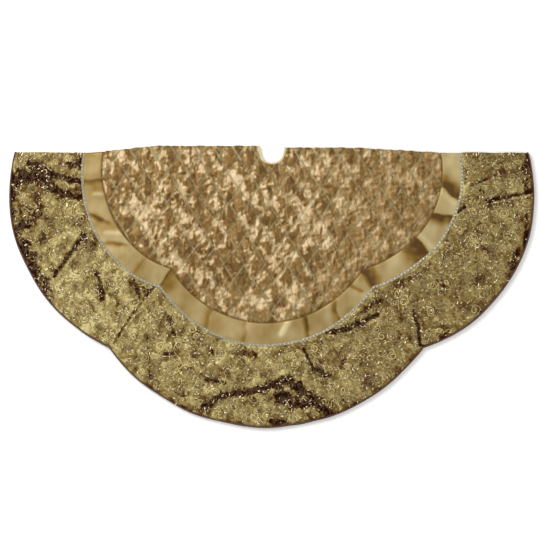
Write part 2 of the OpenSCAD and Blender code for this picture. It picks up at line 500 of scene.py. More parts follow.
# Folds in the satin: a line, its half width and its height, less than 0 for a dip.
SATIN_FOLDS = [
    (-410, -100, -395, -100, 5, 0.9), (-385, -190, -350, -190, 6, 0.9),
    (-410, -150, -395, -160, 6, -0.8), (-380, -210, -350, -215, 5, -0.8),
    (45, -385, 20, -425, 6, 1.6), (80, -390, 85, -415, 6, -0.7),
    (140, -370, 145, -395, 6, -0.6), (210, -280, 230, -315, 4, -1.2),
    (180, -310, 210, -325, 4, -1.1), (365, -145, 415, -150, 4, -0.9),
    (345, -195, 370, -220, 7, 0.6), (400, -100, 425, -120, 8, 0.7),
]


def satin_height(x, y):
    lx, ly = lay(x, -np.abs(y))
    folds = 0.9 + 0.55 * noise(x, y, 60, 31) + 0.25 * noise(x, y, 24, 32)
    for x1, y1, x2, y2, width, high in SATIN_FOLDS:
        off = off_line(lx, ly, x1, y1, x2, y2)
        folds = folds + high * np.exp(-(off / width) ** 2)
    inner = -inside(PANEL, x, y)
    seam = smooth((inner + 0.2) / 3.0)
    outer = smooth((inside(BAND, x, y) + 1) / 7.0)
    return np.maximum(folds, 0.1) * (0.35 + 0.65 * outer) * seam + 0.35


# Painted brown shade across the satin, where its folds turn from the light: a line across the band, the
# width of its soft side and its strength.
SATIN_SHADE_BANDS = [
    (390, -80, 430, -110, -40, 0.85), (365, -145, 415, -150, 30, 0.75), (335, -200, 365, -240, 75, 0.85),
    (210, -280, 235, -315, -40, 0.65), (330, -205, 345, -215, 15, 0.30),
    (-225, -260, -260, -310, -45, 0.42), (-440, -70, -395, -65, 12, 0.38),
    (-415, -150, -390, -160, 10, 0.45), (-380, -210, -350, -215, 10, 0.35),
    (80, -390, 85, -425, 15, 0.45), (150, -360, 160, -400, 15, 0.45), (-60, -390, -65, -440, 15, 0.22),
    (-140, -365, -150, -410, 20, 0.25), (-300, -260, -330, -290, 12, 0.15),
]


def across_line(x, y, x1, y1, x2, y2):
    """The signed distance from a line, and how far past its ends a point is."""
    dx, dy = x2 - x1, y2 - y1
    size = math.hypot(dx, dy)
    side = ((x - x1) * dy - (y - y1) * dx) / size
    along = ((x - x1) * dx + (y - y1) * dy) / size
    return side, np.maximum(-along, along - size)


def satin_tone(x, y):
    ay = -np.abs(y)
    lx, ly = lay(x, ay)
    tone = 0.52 + 0.15 * noise(x, ay, 55, 33) + 0.07 * noise(x, ay, 20, 34)
    tone = tone - 0.06 * smooth((-lx - 330) / 60) * smooth((ly + 230) / 80) - 0.03 * smooth((-ly - 340) / 60)
    # Painted highlight: a soft bright patch on the satin at the lower left.
    painted_satin_highlight = np.exp(-((lx + 350) / 50) ** 2 - ((ly + 225) / 30) ** 2)
    tone = tone + 0.10 * smooth((lx - 200) / 100) + 0.10 * painted_satin_highlight
    wave = 5 * noise(x, ay, 26, 35)
    # Painted shade of the satin's folds.
    for x1, y1, x2, y2, width, deep in SATIN_SHADE_BANDS:
        side, past = across_line(lx, ly, x1, y1, x2, y2)
        side = (side + wave) * (1 if width > 0 else -1)
        soft = smooth(1 - side / abs(width)) * smooth((side + 4) / 5.0)
        tone = tone - deep * soft * smooth(1 - (past - 8) / 14) * (0.85 + 0.3 * noise(x, ay, 15, 36))
    # Painted highlight and shade: raised folds painted lighter, dips painted darker.
    for x1, y1, x2, y2, width, high in SATIN_FOLDS:
        off = off_line(lx, ly, x1, y1, x2, y2)
        tone = tone + 0.26 * high * np.exp(-(off / width) ** 2)
    # Painted shade: a thin dark line along the mitred seam at each cusp.
    for left in (True, False):
        a, b = cusp(PANEL, left), cusp(BAND, left)
        tone = tone - 0.45 * np.exp(-(off_line(x, ay, *a, *b) / 1.6) ** 2)
    # Painted shadow along the seam beside the raised quilted panel, and painted shade along the fold's turn.
    seam = 1 - smooth((-inside(PANEL, x, y) - 0.3) / 2.4)
    return np.clip(tone * (1 - 0.75 * seam) - 0.3 * turn_shade(x, y), 0, 1)


# Painted shade: dark patches where the crushed pile lies away from the light, many along creases: a line,
# its half width and its strength.
CRUSHED_PILE_SHADE = [
    (-600, -60, -520, -50, 21, 1.0), (-560, -35, -520, -40, 12, 0.7), (-515, -75, -500, -95, 10, 0.8),
    (-515, -50, -450, -70, 8, 0.9), (-495, -90, -450, -110, 7, 0.8), (-600, -195, -545, -140, 14, 0.9),
    (-595, -195, -555, -255, 19, 0.95), (-565, -255, -515, -325, 19, 0.9), (-605, -90, -600, -195, 12, 0.7),
    (-435, -195, -505, -290, 5.5, 1.0), (-405, -285, -390, -345, 7, 0.9), (-320, -300, -305, -340, 5, 0.8),
    (-150, -530, -110, -535, 6, 0.8), (-130, -570, -25, -555, 9, 0.9), (-25, -555, 40, -530, 12, 1.0),
    (40, -530, 140, -615, 13, 1.1), (15, -565, 75, -590, 17, 0.75), (-5, -625, 25, -625, 7, 0.9),
    (-160, -590, -130, -575, 8, 0.8), (75, -460, 95, -500, 4, 0.8), (100, -505, 130, -520, 7, 0.9),
    (-65, -470, -40, -475, 8, 0.5), (-270, -585, -155, -600, 6, 0.5), (130, -420, 180, -410, 7, 0.9),
    (180, -410, 245, -380, 7, 0.9), (195, -380, 250, -345, 7, 0.45), (430, -140, 450, -130, 4, 0.9),
    (500, -115, 600, -95, 4.5, 1.0), (465, -80, 520, -55, 3, 0.5), (330, -370, 340, -410, 5, 0.7),
    (340, -410, 345, -450, 5, 0.8), (590, -15, 590, -95, 9, 0.6), (590, -145, 585, -230, 5, 0.6),
    (570, -230, 550, -280, 8, 0.5), (-270, -310, -335, -395, 4, 0.4), (-335, -395, -365, -445, 4, 0.5),
    (-240, -385, -225, -430, 6, 0.5), (-200, -500, -160, -520, 8, 0.4), (420, -330, 440, -360, 10, 0.3),
]
# Sharp creases: a line, the half width and the depth.
CREASES = [
    (-435, -195, -505, -290, 5, 2.6), (-405, -285, -390, -345, 6, 2.0), (-515, -50, -450, -70, 7, 2.0),
    (-495, -90, -450, -110, 6, 1.6), (-320, -300, -305, -340, 5, 1.6), (40, -530, 140, -615, 9, 3.2),
    (-25, -555, 40, -530, 9, 2.6), (75, -460, 95, -500, 4, 1.8), (130, -420, 180, -410, 6, 2.4),
    (180, -410, 245, -380, 6, 2.4), (430, -140, 450, -130, 4, 2.2), (500, -115, 600, -95, 4.5, 2.6),
    (465, -80, 520, -55, 4, 1.4), (330, -370, 340, -410, 5, 1.8), (340, -410, 345, -450, 5, 2.0),
    (-270, -310, -335, -395, 3, 1.6), (-335, -395, -365, -445, 3, 1.6), (-130, -570, -25, -555, 8, 1.8),
    (-600, -150, -520, -130, 9, 1.6), (-580, -230, -520, -215, 10, 1.6), (-450, -330, -420, -400, 10, 1.6),
    (-200, -420, -215, -500, 11, 1.5), (260, -450, 290, -520, 12, 1.5), (480, -200, 560, -215, 9, 1.2),
]


def laid_front(x, y):
    """Where marks of the laid front half fall on the flat plan; the back half has them mirrored."""
    lx, ly = lay(x, y)
    return np.where(y <= 0, lx, -lx), -np.abs(ly)


def velvet_height(x, y):
    lx, ly = laid_front(x, y)
    h = 2.6 + 1.5 * noise(x, y, 130, 41) + 1.1 * noise(x, y, 48, 42)
    fold = noise(x, y, 80, 43)
    h = h + 0.9 * (1 - np.abs(fold) * 2.2)
    for x1, y1, x2, y2, width, deep in CREASES:
        off = off_line(lx, ly, x1, y1, x2, y2) / width
        h = h - deep * np.exp(-off * off) + 0.55 * deep * np.exp(-((off - 1.9) ** 2))
    h = h + 0.3 * noise(x, y, 11, 44) + 0.18 * noise(x, y, 5, 45)
    inner = smooth((-inside(BAND, x, y) + 2) / 10.0)
    outer = smooth(inside(OUTLINE, x, y) / 12.0)
    return np.maximum(h, 0.4) * (0.25 + 0.75 * inner) * (0.35 + 0.65 * outer) + 0.2


def velvet_tone(x, y):
    """The pile's tone: 0 where it shows dark maroon, 1 where it shines olive gold. Much of it is painted
    light: slopes facing the key light are painted lighter, and the crushed patches and the fold's turn are
    painted shade.
    """
    lx, ly = laid_front(x, y)
    hx, hy = slopes(velvet_height, x, y, 2.0)
    side = smooth((lx + 50) / 350)
    tone = 0.645 - 0.06 * side + (0.30 - 0.15 * side) * noise(x, y, 40, 51)
    tone = tone + 0.17 * smooth((-lx - 300) / 100) * smooth((-ly - 200) / 100)
    tone = tone - 0.10 * smooth((-lx - 400) / 60) * smooth((ly + 170) / 80)
    streak = noise(x * 0.8 + y * 0.3, y * 0.6 - x * 0.3, 12, 52)
    tone = tone + (0.28 - 0.12 * side) * streak + 0.18 * noise(x, y, 5.5, 53)
    tone = tone - 0.24 * smooth(noise(x, y * 0.7, 26, 56) * 2.2 - 0.1)
    # Painted light: slopes that face the key light at the upper left are painted lighter, and those turned
    # away darker.
    tone = tone + 0.04 + 0.55 * np.clip(0.7 * hx - 0.7 * hy, -0.3, 0.3)
    ragged = 0.75 * noise(x, y, 17, 54) + 0.55 * noise(x, y, 7, 55)
    # Painted shade: the crushed pile's dark patches.
    dark = np.zeros_like(tone)
    for x1, y1, x2, y2, width, deep in CRUSHED_PILE_SHADE:
        off = off_line(lx, ly, x1, y1, x2, y2) / width
        dark = np.maximum(dark, deep * smooth((1.30 - off + ragged * min(1, width / 8)) * 0.95))
    rim = smooth(1.1 - inside(OUTLINE, x, y) / 6.0)
    # Painted shade along the fold's turn.
    return np.clip(tone - 0.80 * dark - 0.45 * rim - 0.3 * turn_shade(x, y), 0, 1)


# ---------------------------------------------------------------- meshes

def new_object(name, points, faces, material, values=None):
    """A smooth mesh from points in millimetres and one or more arrays of faces."""
    mesh = bpy.data.meshes.new(name)
    points = np.asarray(points, float).reshape(-1, 3)
    faces = [np.asarray(f, np.int32) for f in faces if len(f)]
    corners = np.concatenate([f.ravel() for f in faces])
    starts = []
    base = 0
    for f in faces:
        starts.append(base + np.arange(len(f)) * f.shape[1])
        base += f.size
    mesh.vertices.add(len(points))
    mesh.vertices.foreach_set("co", (points * MM).astype(np.float32).ravel())
    mesh.loops.add(len(corners))
    mesh.loops.foreach_set("vertex_index", corners)
    mesh.polygons.add(sum(len(f) for f in faces))
    mesh.polygons.foreach_set("loop_start", np.concatenate(starts).astype(np.int32))
    mesh.update(calc_edges=True)
    mesh.polygons.foreach_set("use_smooth", np.ones(len(mesh.polygons), bool))
    for key, value in (values or {}).items():
        layer = mesh.attributes.new(key, "FLOAT", "POINT")
        layer.data.foreach_set("value", np.asarray(value, np.float32).ravel())
    mesh.materials.append(material)
    obj = bpy.data.objects.new(name, mesh)
    bpy.context.scene.collection.objects.link(obj)
    return obj


def grid_faces(rows, columns, closed=False):
    """Quads of a grid of points, whose columns may close on themselves."""
    i, j = np.meshgrid(np.arange(rows - 1), np.arange(columns if closed else columns - 1), indexing="ij")
    i, j = i.ravel(), j.ravel()
    k = (j + 1) % columns
    return np.column_stack([i * columns + j, i * columns + k, (i + 1) * columns + k, (i + 1) * columns + j])


def facing(points, faces, y):
    """Faces turned so that their normals look away from the lining."""
    a, b, c = points[faces[:, 0]], points[faces[:, 1]], points[faces[:, 2]]
    normal = np.cross(b - a, c - a)
    up = normal[:, 2] * np.where(y[faces[:, 0]] <= 0, 1, -1)
    return faces if up.sum() > 0 else faces[:, ::-1]


def note_cut(x):
    """Turns a cloth's x places on the pattern into metres and keeps nothing."""
    x = x.ravel() * MM


def sheet_from_grid(name, x, y, height, tone, material):
    points = place(x, y, height(x, y)).reshape(-1, 3)
    faces = facing(points, grid_faces(*x.shape), y.ravel())
    note_cut(x)
    return new_object(name, points, [faces], material, {"tone": tone(x, y)})


def cut_grid(keep, x0, x1, y0, y1, step_x, step_y):
    """A regular grid of points cut along keep(x, y) = 0. Gives x, y, the quads and the triangles."""
    nx, ny = int(round((x1 - x0) / step_x)), int(round((y1 - y0) / step_y))
    x, y = np.meshgrid(np.linspace(x0, x1, nx + 1), np.linspace(y0, y1, ny + 1), indexing="ij")
    value = keep(x, y)
    cells = grid_faces(nx + 1, ny + 1)
    inner = value.ravel()[cells] > 0
    whole = cells[inner.all(1)]
    mixed = cells[inner.any(1) & ~inner.all(1)]
    px, py, pv = list(x.ravel()), list(y.ravel()), value.ravel()
    made, triangles = {}, []
    for cell in mixed:
        loop = []
        for k in range(4):
            a, b = int(cell[k]), int(cell[(k + 1) % 4])
            if pv[a] > 0:
                loop.append(a)
            if (pv[a] > 0) != (pv[b] > 0):
                key = (min(a, b), max(a, b))
                if key not in made:
                    t = pv[a] / (pv[a] - pv[b])
                    made[key] = len(px)
                    px.append(px[a] + t * (px[b] - px[a]))
                    py.append(py[a] + t * (py[b] - py[a]))
                loop.append(made[key])
        for k in range(1, len(loop) - 1):
            triangles.append((loop[0], loop[k], loop[k + 1]))
    triangles = np.array(triangles, np.int64).reshape(-1, 3)
    used, renumbered = np.unique(np.concatenate([whole.ravel(), triangles.ravel()]), return_inverse=True)
    whole_new = renumbered[:whole.size].reshape(-1, 4)
    triangles_new = renumbered[whole.size:].reshape(-1, 3)
    return np.array(px)[used], np.array(py)[used], whole_new, triangles_new


def cut_sheet(name, keep, box, step, height, tone, material):
    x, y, quads, triangles = cut_grid(keep, *box, *step)
    points = place(x, y, height(x, y))
    faces = [facing(points, quads, y), facing(points, triangles, y)]
    note_cut(x)
    return new_object(name, points, faces, material, {"tone": tone(x, y)})


# ---------------------------------------------------------------- materials

def material(name):
    mat = bpy.data.materials.new(name)
    mat.use_nodes = True
    tree = mat.node_tree
    tree.nodes.clear()
    shader = tree.nodes.new("ShaderNodeBsdfPrincipled")
    out = tree.nodes.new("ShaderNodeOutputMaterial")
    tree.links.new(shader.outputs["BSDF"], out.inputs["Surface"])
    return mat, tree, shader


def node(tree, kind, **settings):
    made = tree.nodes.new(kind)
    for key, value in settings.items():
        if hasattr(made, key):
            setattr(made, key, value)
        else:
            made.inputs[key.replace("_", " ")].default_value = value
    return made


def attribute(tree, name):
    return node(tree, "ShaderNodeAttribute", attribute_name=name).outputs["Fac"]


def coords(tree, scale=(1, 1, 1)):
    """Object coordinates in metres, stretched."""
    place_node = tree.nodes.new("ShaderNodeMapping")
    place_node.inputs["Scale"].default_value = scale
    source = tree.nodes.new("ShaderNodeTexCoord")
    tree.links.new(source.outputs["Object"], place_node.inputs["Vector"])
    return place_node.outputs["Vector"]


def fine_noise(tree, scale, detail=3.0, stretch=(1, 1, 1)):
    made = node(tree, "ShaderNodeTexNoise", Scale=scale, Detail=detail)
    tree.links.new(coords(tree, stretch), made.inputs["Vector"])
    return made.outputs["Fac"]


def maths(tree, operation, a, b=None, c=None):
    made = node(tree, "ShaderNodeMath", operation=operation)
    for socket, value in zip(made.inputs, (a, b, c)):
        if value is None:
            continue
        if isinstance(value, (int, float)):
            socket.default_value = value
        else:
            tree.links.new(value, socket)
    return made.outputs[0]


def ramp(tree, fac, stops):
    made = tree.nodes.new("ShaderNodeValToRGB")
    items = made.color_ramp.elements
    while len(items) < len(stops):
        items.new(0.5)
    for item, (at, colour) in zip(items, stops):
        item.position = at
        item.color = (*colour, 1)
    tree.links.new(fac, made.inputs["Fac"])
    return made.outputs["Color"]


def bump(tree, shader, height, strength, distance):
    made = node(tree, "ShaderNodeBump", Strength=strength, Distance=distance)
    tree.links.new(height, made.inputs["Height"])
    tree.links.new(made.outputs["Normal"], shader.inputs["Normal"])


def weave(tree, pitch, along=(1, 1, 1)):
    """A plain weave's height from two crossed waves, `pitch` metres apart."""
    outs = []
    for direction in ("X", "Y"):
        wave = node(tree, "ShaderNodeTexWave", bands_direction=direction, Scale=0.314 / pitch,
                    Distortion=0.6, Detail=1.0)
        tree.links.new(coords(tree, along), wave.inputs["Vector"])
        outs.append(wave.outputs["Fac"])
    return maths(tree, "MAXIMUM", outs[0], outs[1])


def crinkles(tree, scale, stretch):
    """Flat creased facets: a random level for each, and 1 along their edges."""
    shift = node(tree, "ShaderNodeTexNoise", Scale=scale * 0.6, Detail=2.0)
    tree.links.new(coords(tree), shift.inputs["Vector"])
    moved = node(tree, "ShaderNodeMix", data_type="VECTOR")
    moved.inputs["Factor"].default_value = 0.007
    tree.links.new(coords(tree, stretch), moved.inputs[4])
    tree.links.new(shift.outputs["Color"], moved.inputs[5])
    cells = node(tree, "ShaderNodeTexVoronoi", Scale=scale)
    tree.links.new(moved.outputs[1], cells.inputs["Vector"])
    split = node(tree, "ShaderNodeSeparateColor")
    tree.links.new(cells.outputs["Color"], split.inputs["Color"])
    edges = node(tree, "ShaderNodeTexVoronoi", Scale=scale, feature="DISTANCE_TO_EDGE")
    tree.links.new(moved.outputs[1], edges.inputs["Vector"])
    near = node(tree, "ShaderNodeMapRange", From_Max=0.10, To_Min=1.0, To_Max=0.0)
    tree.links.new(edges.outputs["Distance"], near.inputs["Value"])
    return split.outputs["Red"], near.outputs["Result"]


def constants(shader, values):
    """Fixed values, set on the shader's own sockets."""
    for name, value in values.items():
        shader.inputs[name].default_value = value


def centred(tree, value, by):
    """A 0 to 1 value moved to lie about 0 and scaled."""
    return maths(tree, "MULTIPLY", maths(tree, "SUBTRACT", value, 0.5), by)


def roughness(tree, shader, grain, spread, low):
    vary = maths(tree, "ADD", maths(tree, "MULTIPLY", grain, spread), low)
    tree.links.new(vary, shader.inputs["Roughness"])


def base_colour(tree, shader, mixed, stops):
    tree.links.new(ramp(tree, mixed, stops), shader.inputs["Base Color"])


def taffeta_material():
    mat, tree, shader = material("shot taffeta")
    tone = attribute(tree, "tone")
    grain = fine_noise(tree, 260, 2.0, (1, 0.25, 1))
    mixed = maths(tree, "MULTIPLY_ADD", maths(tree, "SUBTRACT", grain, 0.5), 0.2, tone)
    big, big_edge = crinkles(tree, 72, (1, 0.36, 1))
    small, small_edge = crinkles(tree, 120, (0.8, 0.6, 1))
    # Painted light: each crinkle facet is painted lighter or darker as if it caught the light, with painted
    # crease shade along the larger facets' edges.
    mixed = maths(tree, "MULTIPLY_ADD", maths(tree, "SUBTRACT", big, 0.5), 0.30, mixed)
    mixed = maths(tree, "MULTIPLY_ADD", maths(tree, "SUBTRACT", small, 0.5), 0.16, mixed)
    mixed = maths(tree, "MULTIPLY_ADD", big_edge, -0.14, mixed)
    base_colour(tree, shader, mixed, [(0.0, (0.084, 0.040, 0.007)), (0.25, (0.182, 0.102, 0.022)),
                                      (0.60, (0.304, 0.204, 0.088)), (1.0, (0.56, 0.43, 0.26))])
    roughness(tree, shader, fine_noise(tree, 60), 0.16, 0.34)
    constants(shader, {"Metallic": 0.25, "Specular IOR Level": 0.26, "Sheen Weight": 0.06,
                       "Sheen Roughness": 0.4})
    folds = maths(tree, "MULTIPLY_ADD", big_edge, -1.0, maths(tree, "MULTIPLY", small_edge, -0.5))
    height = maths(tree, "MULTIPLY_ADD", weave(tree, 0.0007), 0.15, folds)
    bump(tree, shader, height, 0.45, 0.0012)
    return mat


def satin_material():
    mat, tree, shader = material("gold satin")
    streak = fine_noise(tree, 90, 2.0, (1, 0.15, 1))
    mixed = maths(tree, "ADD", attribute(tree, "tone"), centred(tree, streak, 0.12))
    base_colour(tree, shader, mixed, [(0.0, (0.074, 0.035, 0.004)), (0.30, (0.200, 0.118, 0.020)),
                                      (0.62, (0.352, 0.272, 0.128)), (1.0, (0.57, 0.49, 0.28))])
    roughness(tree, shader, fine_noise(tree, 40), 0.12, 0.33)
    constants(shader, {"Metallic": 0.35, "Specular IOR Level": 0.22, "Anisotropic": 0.4})
    bump(tree, shader, weave(tree, 0.0005), 0.18, 0.00012)
    return mat


def velvet_material():
    mat, tree, shader = material("crushed velvet")
    pile = fine_noise(tree, 330, 4.0)
    clump = fine_noise(tree, 120, 3.0)
    mixed = maths(tree, "ADD", attribute(tree, "tone"), centred(tree, pile, 0.5))
    mixed = maths(tree, "ADD", mixed, centred(tree, clump, 0.4))
    base_colour(tree, shader, mixed, [(0.0, (0.013, 0.0024, 0.0006)), (0.22, (0.046, 0.013, 0.003)),
                                      (0.50, (0.126, 0.076, 0.020)), (0.78, (0.260, 0.200, 0.070)),
                                      (1.0, (0.48, 0.41, 0.185))])
    roughness(tree, shader, pile, 0.25, 0.5)
    constants(shader, {"Specular IOR Level": 0.03, "Sheen Weight": 0.08, "Sheen Roughness": 0.35,
                       "Sheen Tint": (0.90, 0.52, 0.16, 1)})
    bump(tree, shader, maths(tree, "ADD", pile, clump), 0.55, 0.0009)
    return mat


def thread_material(name, low, high, metallic, rough, pitch, strength):
    """Wound metallic thread: fine turns along the stroke, and colour that varies from stroke to
    stroke."""
    mat, tree, shader = material(name)
    turns = maths(tree, "SINE", maths(tree, "MULTIPLY", attribute(tree, "run"), 2 * math.pi / pitch))
    mixed = maths(tree, "ADD", attribute(tree, "tone"), maths(tree, "MULTIPLY", turns, 0.12))
    base_colour(tree, shader, mixed, [(0.0, low), (1.0, high)])
    roughness(tree, shader, fine_noise(tree, 300), 0.2, rough)
    constants(shader, {"Metallic": metallic, "Specular IOR Level": 0.25})
    bump(tree, shader, turns, strength, 0.0003)
    return mat


def bead_material(name, low, high, metallic, rough):
    mat, tree, shader = material(name)
    mixed = maths(tree, "ADD", attribute(tree, "tone"), centred(tree, fine_noise(tree, 500), 0.3))
    base_colour(tree, shader, mixed, [(0.0, low), (1.0, high)])
    roughness(tree, shader, fine_noise(tree, 700), 0.15, rough)
    constants(shader, {"Metallic": metallic, "Coat Weight": 0.3})
    return mat


def cloth_material(name, dark, light, pitch, rough, sheen):
    """A plain woven cloth or tape with a slub."""
    mat, tree, shader = material(name)
    threads = weave(tree, pitch)
    slub = fine_noise(tree, 180, 3.0, (1, 0.2, 1))
    mixed = maths(tree, "ADD", maths(tree, "MULTIPLY", threads, 0.5), maths(tree, "MULTIPLY", slub, 0.6))
    base_colour(tree, shader, mixed, [(0.1, dark), (0.9, light)])
    roughness(tree, shader, slub, 0.2, rough)
    constants(shader, {"Sheen Weight": sheen})
    bump(tree, shader, threads, 0.4, pitch * 0.35)
    return mat


MATERIALS = {
    "taffeta": taffeta_material(),
    "satin": satin_material(),
    "velvet": velvet_material(),
    "scroll": thread_material("metallic scroll thread", (0.050, 0.018, 0.005), (0.59, 0.50, 0.225),
                              0.4, 0.32, 1.1, 0.5),
    "chain": thread_material("silver chain stitch", (0.21, 0.162, 0.068), (0.63, 0.57, 0.33),
                             0.3, 0.36, 0.7, 0.4),
    "braid": thread_material("silver gilt braid", (0.22, 0.20, 0.13), (0.56, 0.54, 0.40),
                             0.55, 0.30, 1.6, 0.5),
    # The sequins' and sparks' near-white colour is partly pale gilt and partly a painted glint.
    "glint": bead_material("gilt sequin", (0.70, 0.56, 0.30), (0.98, 0.90, 0.66), 0.6, 0.22),
    "bead": bead_material("pale metal bead", (0.30, 0.28, 0.20), (0.97, 0.93, 0.78), 0.6, 0.22),
    "hem": cloth_material("hem cord", (0.014, 0.004, 0.003), (0.060, 0.020, 0.012), 0.0009, 0.55, 0.3),
    "binding": cloth_material("bias binding", (0.33, 0.25, 0.13), (0.60, 0.50, 0.30), 0.0006, 0.45, 0.1),
    "facing": cloth_material("slit facing", (0.20, 0.14, 0.058), (0.40, 0.305, 0.15), 0.0006, 0.45, 0.1),
    "lining": cloth_material("cotton lining", (0.36, 0.29, 0.18), (0.52, 0.44, 0.30), 0.0008, 0.75, 0.1),
    "hook": cloth_material("hook tape", (0.16, 0.12, 0.07), (0.30, 0.24, 0.15), 0.0011, 0.6, 0.0),
    "loop": cloth_material("loop tape", (0.22, 0.17, 0.10), (0.38, 0.31, 0.20), 0.0009, 0.85, 0.4),
    "label": cloth_material("label tape", (0.74, 0.73, 0.69), (0.88, 0.87, 0.83), 0.0004, 0.5, 0.0),
}


# ---------------------------------------------------------------- the cloths

STEP_QUILT = 2.3     # the grids' steps
STEP_SATIN = 3.0
STEP_VELVET = 2.4
COARSE = 1.15        # how much coarser the hidden flaps' bands are
COARSE_QUILT = 1.2   # and their quilted panels
LINING_TURN = {"high": 0.0069, "low": 0.0061}   # in metres: where the lining's bend starts and ends
EDGE_TURN = {"high": 0.0068, "low": 0.0062}     # and that of the hem and the binding


def put_on(obj, region, slot, *nodes, high=0.010, low=0.005):
    """Fix a piece to its region's body; a piece round the fold only gets its transform baked in. `high` and
    `low` are not used."""
    if region.startswith("fold"):
        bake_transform(obj)
    else:
        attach(obj, region)
    if nodes:
        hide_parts(*nodes)


def plan_boxes(discs, left_stop):
    """The flat box of each region inside an outline: x from and to, y from and to."""
    left, right = discs[0][0] - discs[0][2] - 4, discs[2][0] + discs[2][2] + 4
    low = discs[1][1] - discs[1][2] - 4
    return {
        "front": (left, right, low, -FOLD),
        "back_left": (left, left_stop, FOLD, -low),
        "back_right": (SLIT_RIGHT, right, FOLD, -low),
        "fold_left": (left, 0.0, -FOLD, FOLD),
        "fold_right": (0.0, right, -FOLD, FOLD),
    }


def quilt_keep(x, y):
    return np.minimum(inside(PANEL, x, y) + 2.5, off_hole(x, y) - 1.5)


def make_quilts():
    coarse = STEP_QUILT * COARSE_QUILT
    steps = {"front": (STEP_QUILT, STEP_QUILT), "back": (coarse, coarse), "fold": (STEP_QUILT, 1.25)}
    for region, box in plan_boxes(PANEL, SLIT_LEFT).items():
        kind = region.split("_")[0]
        obj = cut_sheet("quilt_" + region, quilt_keep, box, steps[kind],
                        quilt_height, quilt_tone, MATERIALS["taffeta"])
        nodes = [] if kind == "fold" else [region + "_quilted_panel", region + "_batting"]
        put_on(obj, region, "quilted_taffeta", *nodes)


def ring(inner, outer, part, step, start_x=None, stop_x=None):
    """The flat grid of one ring segment on the front half, from its inner to its outer edge."""
    first, last = arc_angles(outer, part, start_x, stop_x)
    radius = outer[PARTS.index(part)][2]
    count = max(int(abs(last - first) * radius / step), 8) + 1
    a = arc(inner, part, count, start_x, stop_x)
    b = arc(outer, part, count, start_x, stop_x)
    t = np.linspace(0, 1, rows_for(inner, outer, step))[None, :, None]
    grid = a[:, None, :] * (1 - t) + b[:, None, :] * t
    return grid[:, :, 0], grid[:, :, 1]


def rows_for(inner, outer, step):
    return int(max(disc_out[2] - disc_in[2] for disc_in, disc_out in zip(inner, outer)) / step) + 6


def fold_edge(discs, side, count=27):
    """The outline across the fold, from the front half to the back half."""
    k, sign = (0, -1) if side == "left" else (2, 1)
    cx, cy, r = discs[k]
    y = np.linspace(-FOLD, FOLD, count)
    return np.column_stack([cx + sign * np.sqrt(r * r - (-np.abs(y) - cy) ** 2), y])


def ring_fold(inner, outer, side, step):
    """The flat grid of a ring segment across the fold."""
    a, b = fold_edge(inner, side), fold_edge(outer, side)
    t = np.linspace(0, 1, rows_for(inner, outer, step))[None, :]
    x = a[:, :1] * (1 - t) + b[:, :1] * t
    return x, np.repeat(a[:, 1:], t.shape[1], 1)


def make_rings(kind, inner, outer, step, height, tone):
    """The front half's three segments, the flaps' four and the two across the fold."""
    def add(name, region, x, y, *nodes):
        obj = sheet_from_grid(f"{kind}_{name}", x, y, height, tone, MATERIALS[kind])
        put_on(obj, region, kind, *nodes)

    for part in PARTS:
        add("front_" + part, "front", *ring(inner, outer, part, step), f"front_{kind}_{part}")
    for side, start, stop in (("left", None, SLIT_LEFT), ("right", SLIT_RIGHT, None)):
        body = "back_" + side
        x, y = ring(inner, outer, side, step * COARSE)
        add(body + "_side", body, x, -y, f"{body}_{kind}_side")
        x, y = ring(inner, outer, "centre", step * COARSE, start, stop)
        add(body + "_centre", body, x, -y, f"{body}_{kind}_centre")
        add("fold_" + side, "fold_" + side, *ring_fold(inner, outer, side, step))


# ---------------------------------------------------------------- lining and edges

def lining_keep(x, y):
    return np.minimum(inside(OUTLINE, x, y) - 2.0, off_hole(x, y) - 1.5)


def lining_points(x, y):
    points = place_depth(x, y, 0.0)
    ruffle = 0.35 * (1 + noise(x, y, 40, 61)) * smooth((np.abs(y) - FOLD) / 20)
    points[:, 2] += np.where(y < 0, ruffle, -ruffle)
    return points


def make_lining():
    for region, box in plan_boxes(OUTLINE, -SLIT_RIGHT).items():
        fold = region.startswith("fold")
        x, y, quads, triangles = cut_grid(lining_keep, *box, 6.0, 2.0 if fold else 6.0)
        points = lining_points(x, y)
        faces = [facing(points, f, y)[:, ::-1] for f in (quads, triangles)]
        note_cut(x)
        obj = new_object("lining_" + region, points, faces, MATERIALS["lining"])
        nodes = [] if fold else [region + "_lining"]
        put_on(obj, region, "lining", *nodes, **LINING_TURN)


def end_caps(rings, sides):
    """The two end faces of a closed section's sweep."""
    return [np.arange(sides)[None, :], np.arange((rings - 1) * sides, rings * sides)[::-1][None, :]]


def sweep(name, path, outward, profile, mat):
    """A closed section carried along a flat path. The section's points are (outward, depth)."""
    d, v = profile[:, 0][None, :], profile[:, 1][None, :]
    x = path[:, :1] + outward[:, :1] * d
    y = path[:, 1:] + outward[:, 1:] * d
    points = place_depth(x, y, v).reshape(-1, 3)
    obj = new_object(name, points, [grid_faces(*x.shape, closed=True)] + end_caps(*x.shape), MATERIALS[mat])
    turn_outward(obj)
    return obj


def turn_outward(obj):
    """A closed mesh's faces turned to look outwards."""
    mesh = obj.data
    co = coordinates(mesh)
    co = co - co.mean(0)
    mesh.calc_loop_triangles()
    tri = np.zeros(len(mesh.loop_triangles) * 3, np.int32)
    mesh.loop_triangles.foreach_get("vertices", tri)
    a, b, c = (co[tri.reshape(-1, 3)[:, k]] for k in range(3))
    if (a * np.cross(b, c)).sum() < 0:
        mesh.flip_normals()


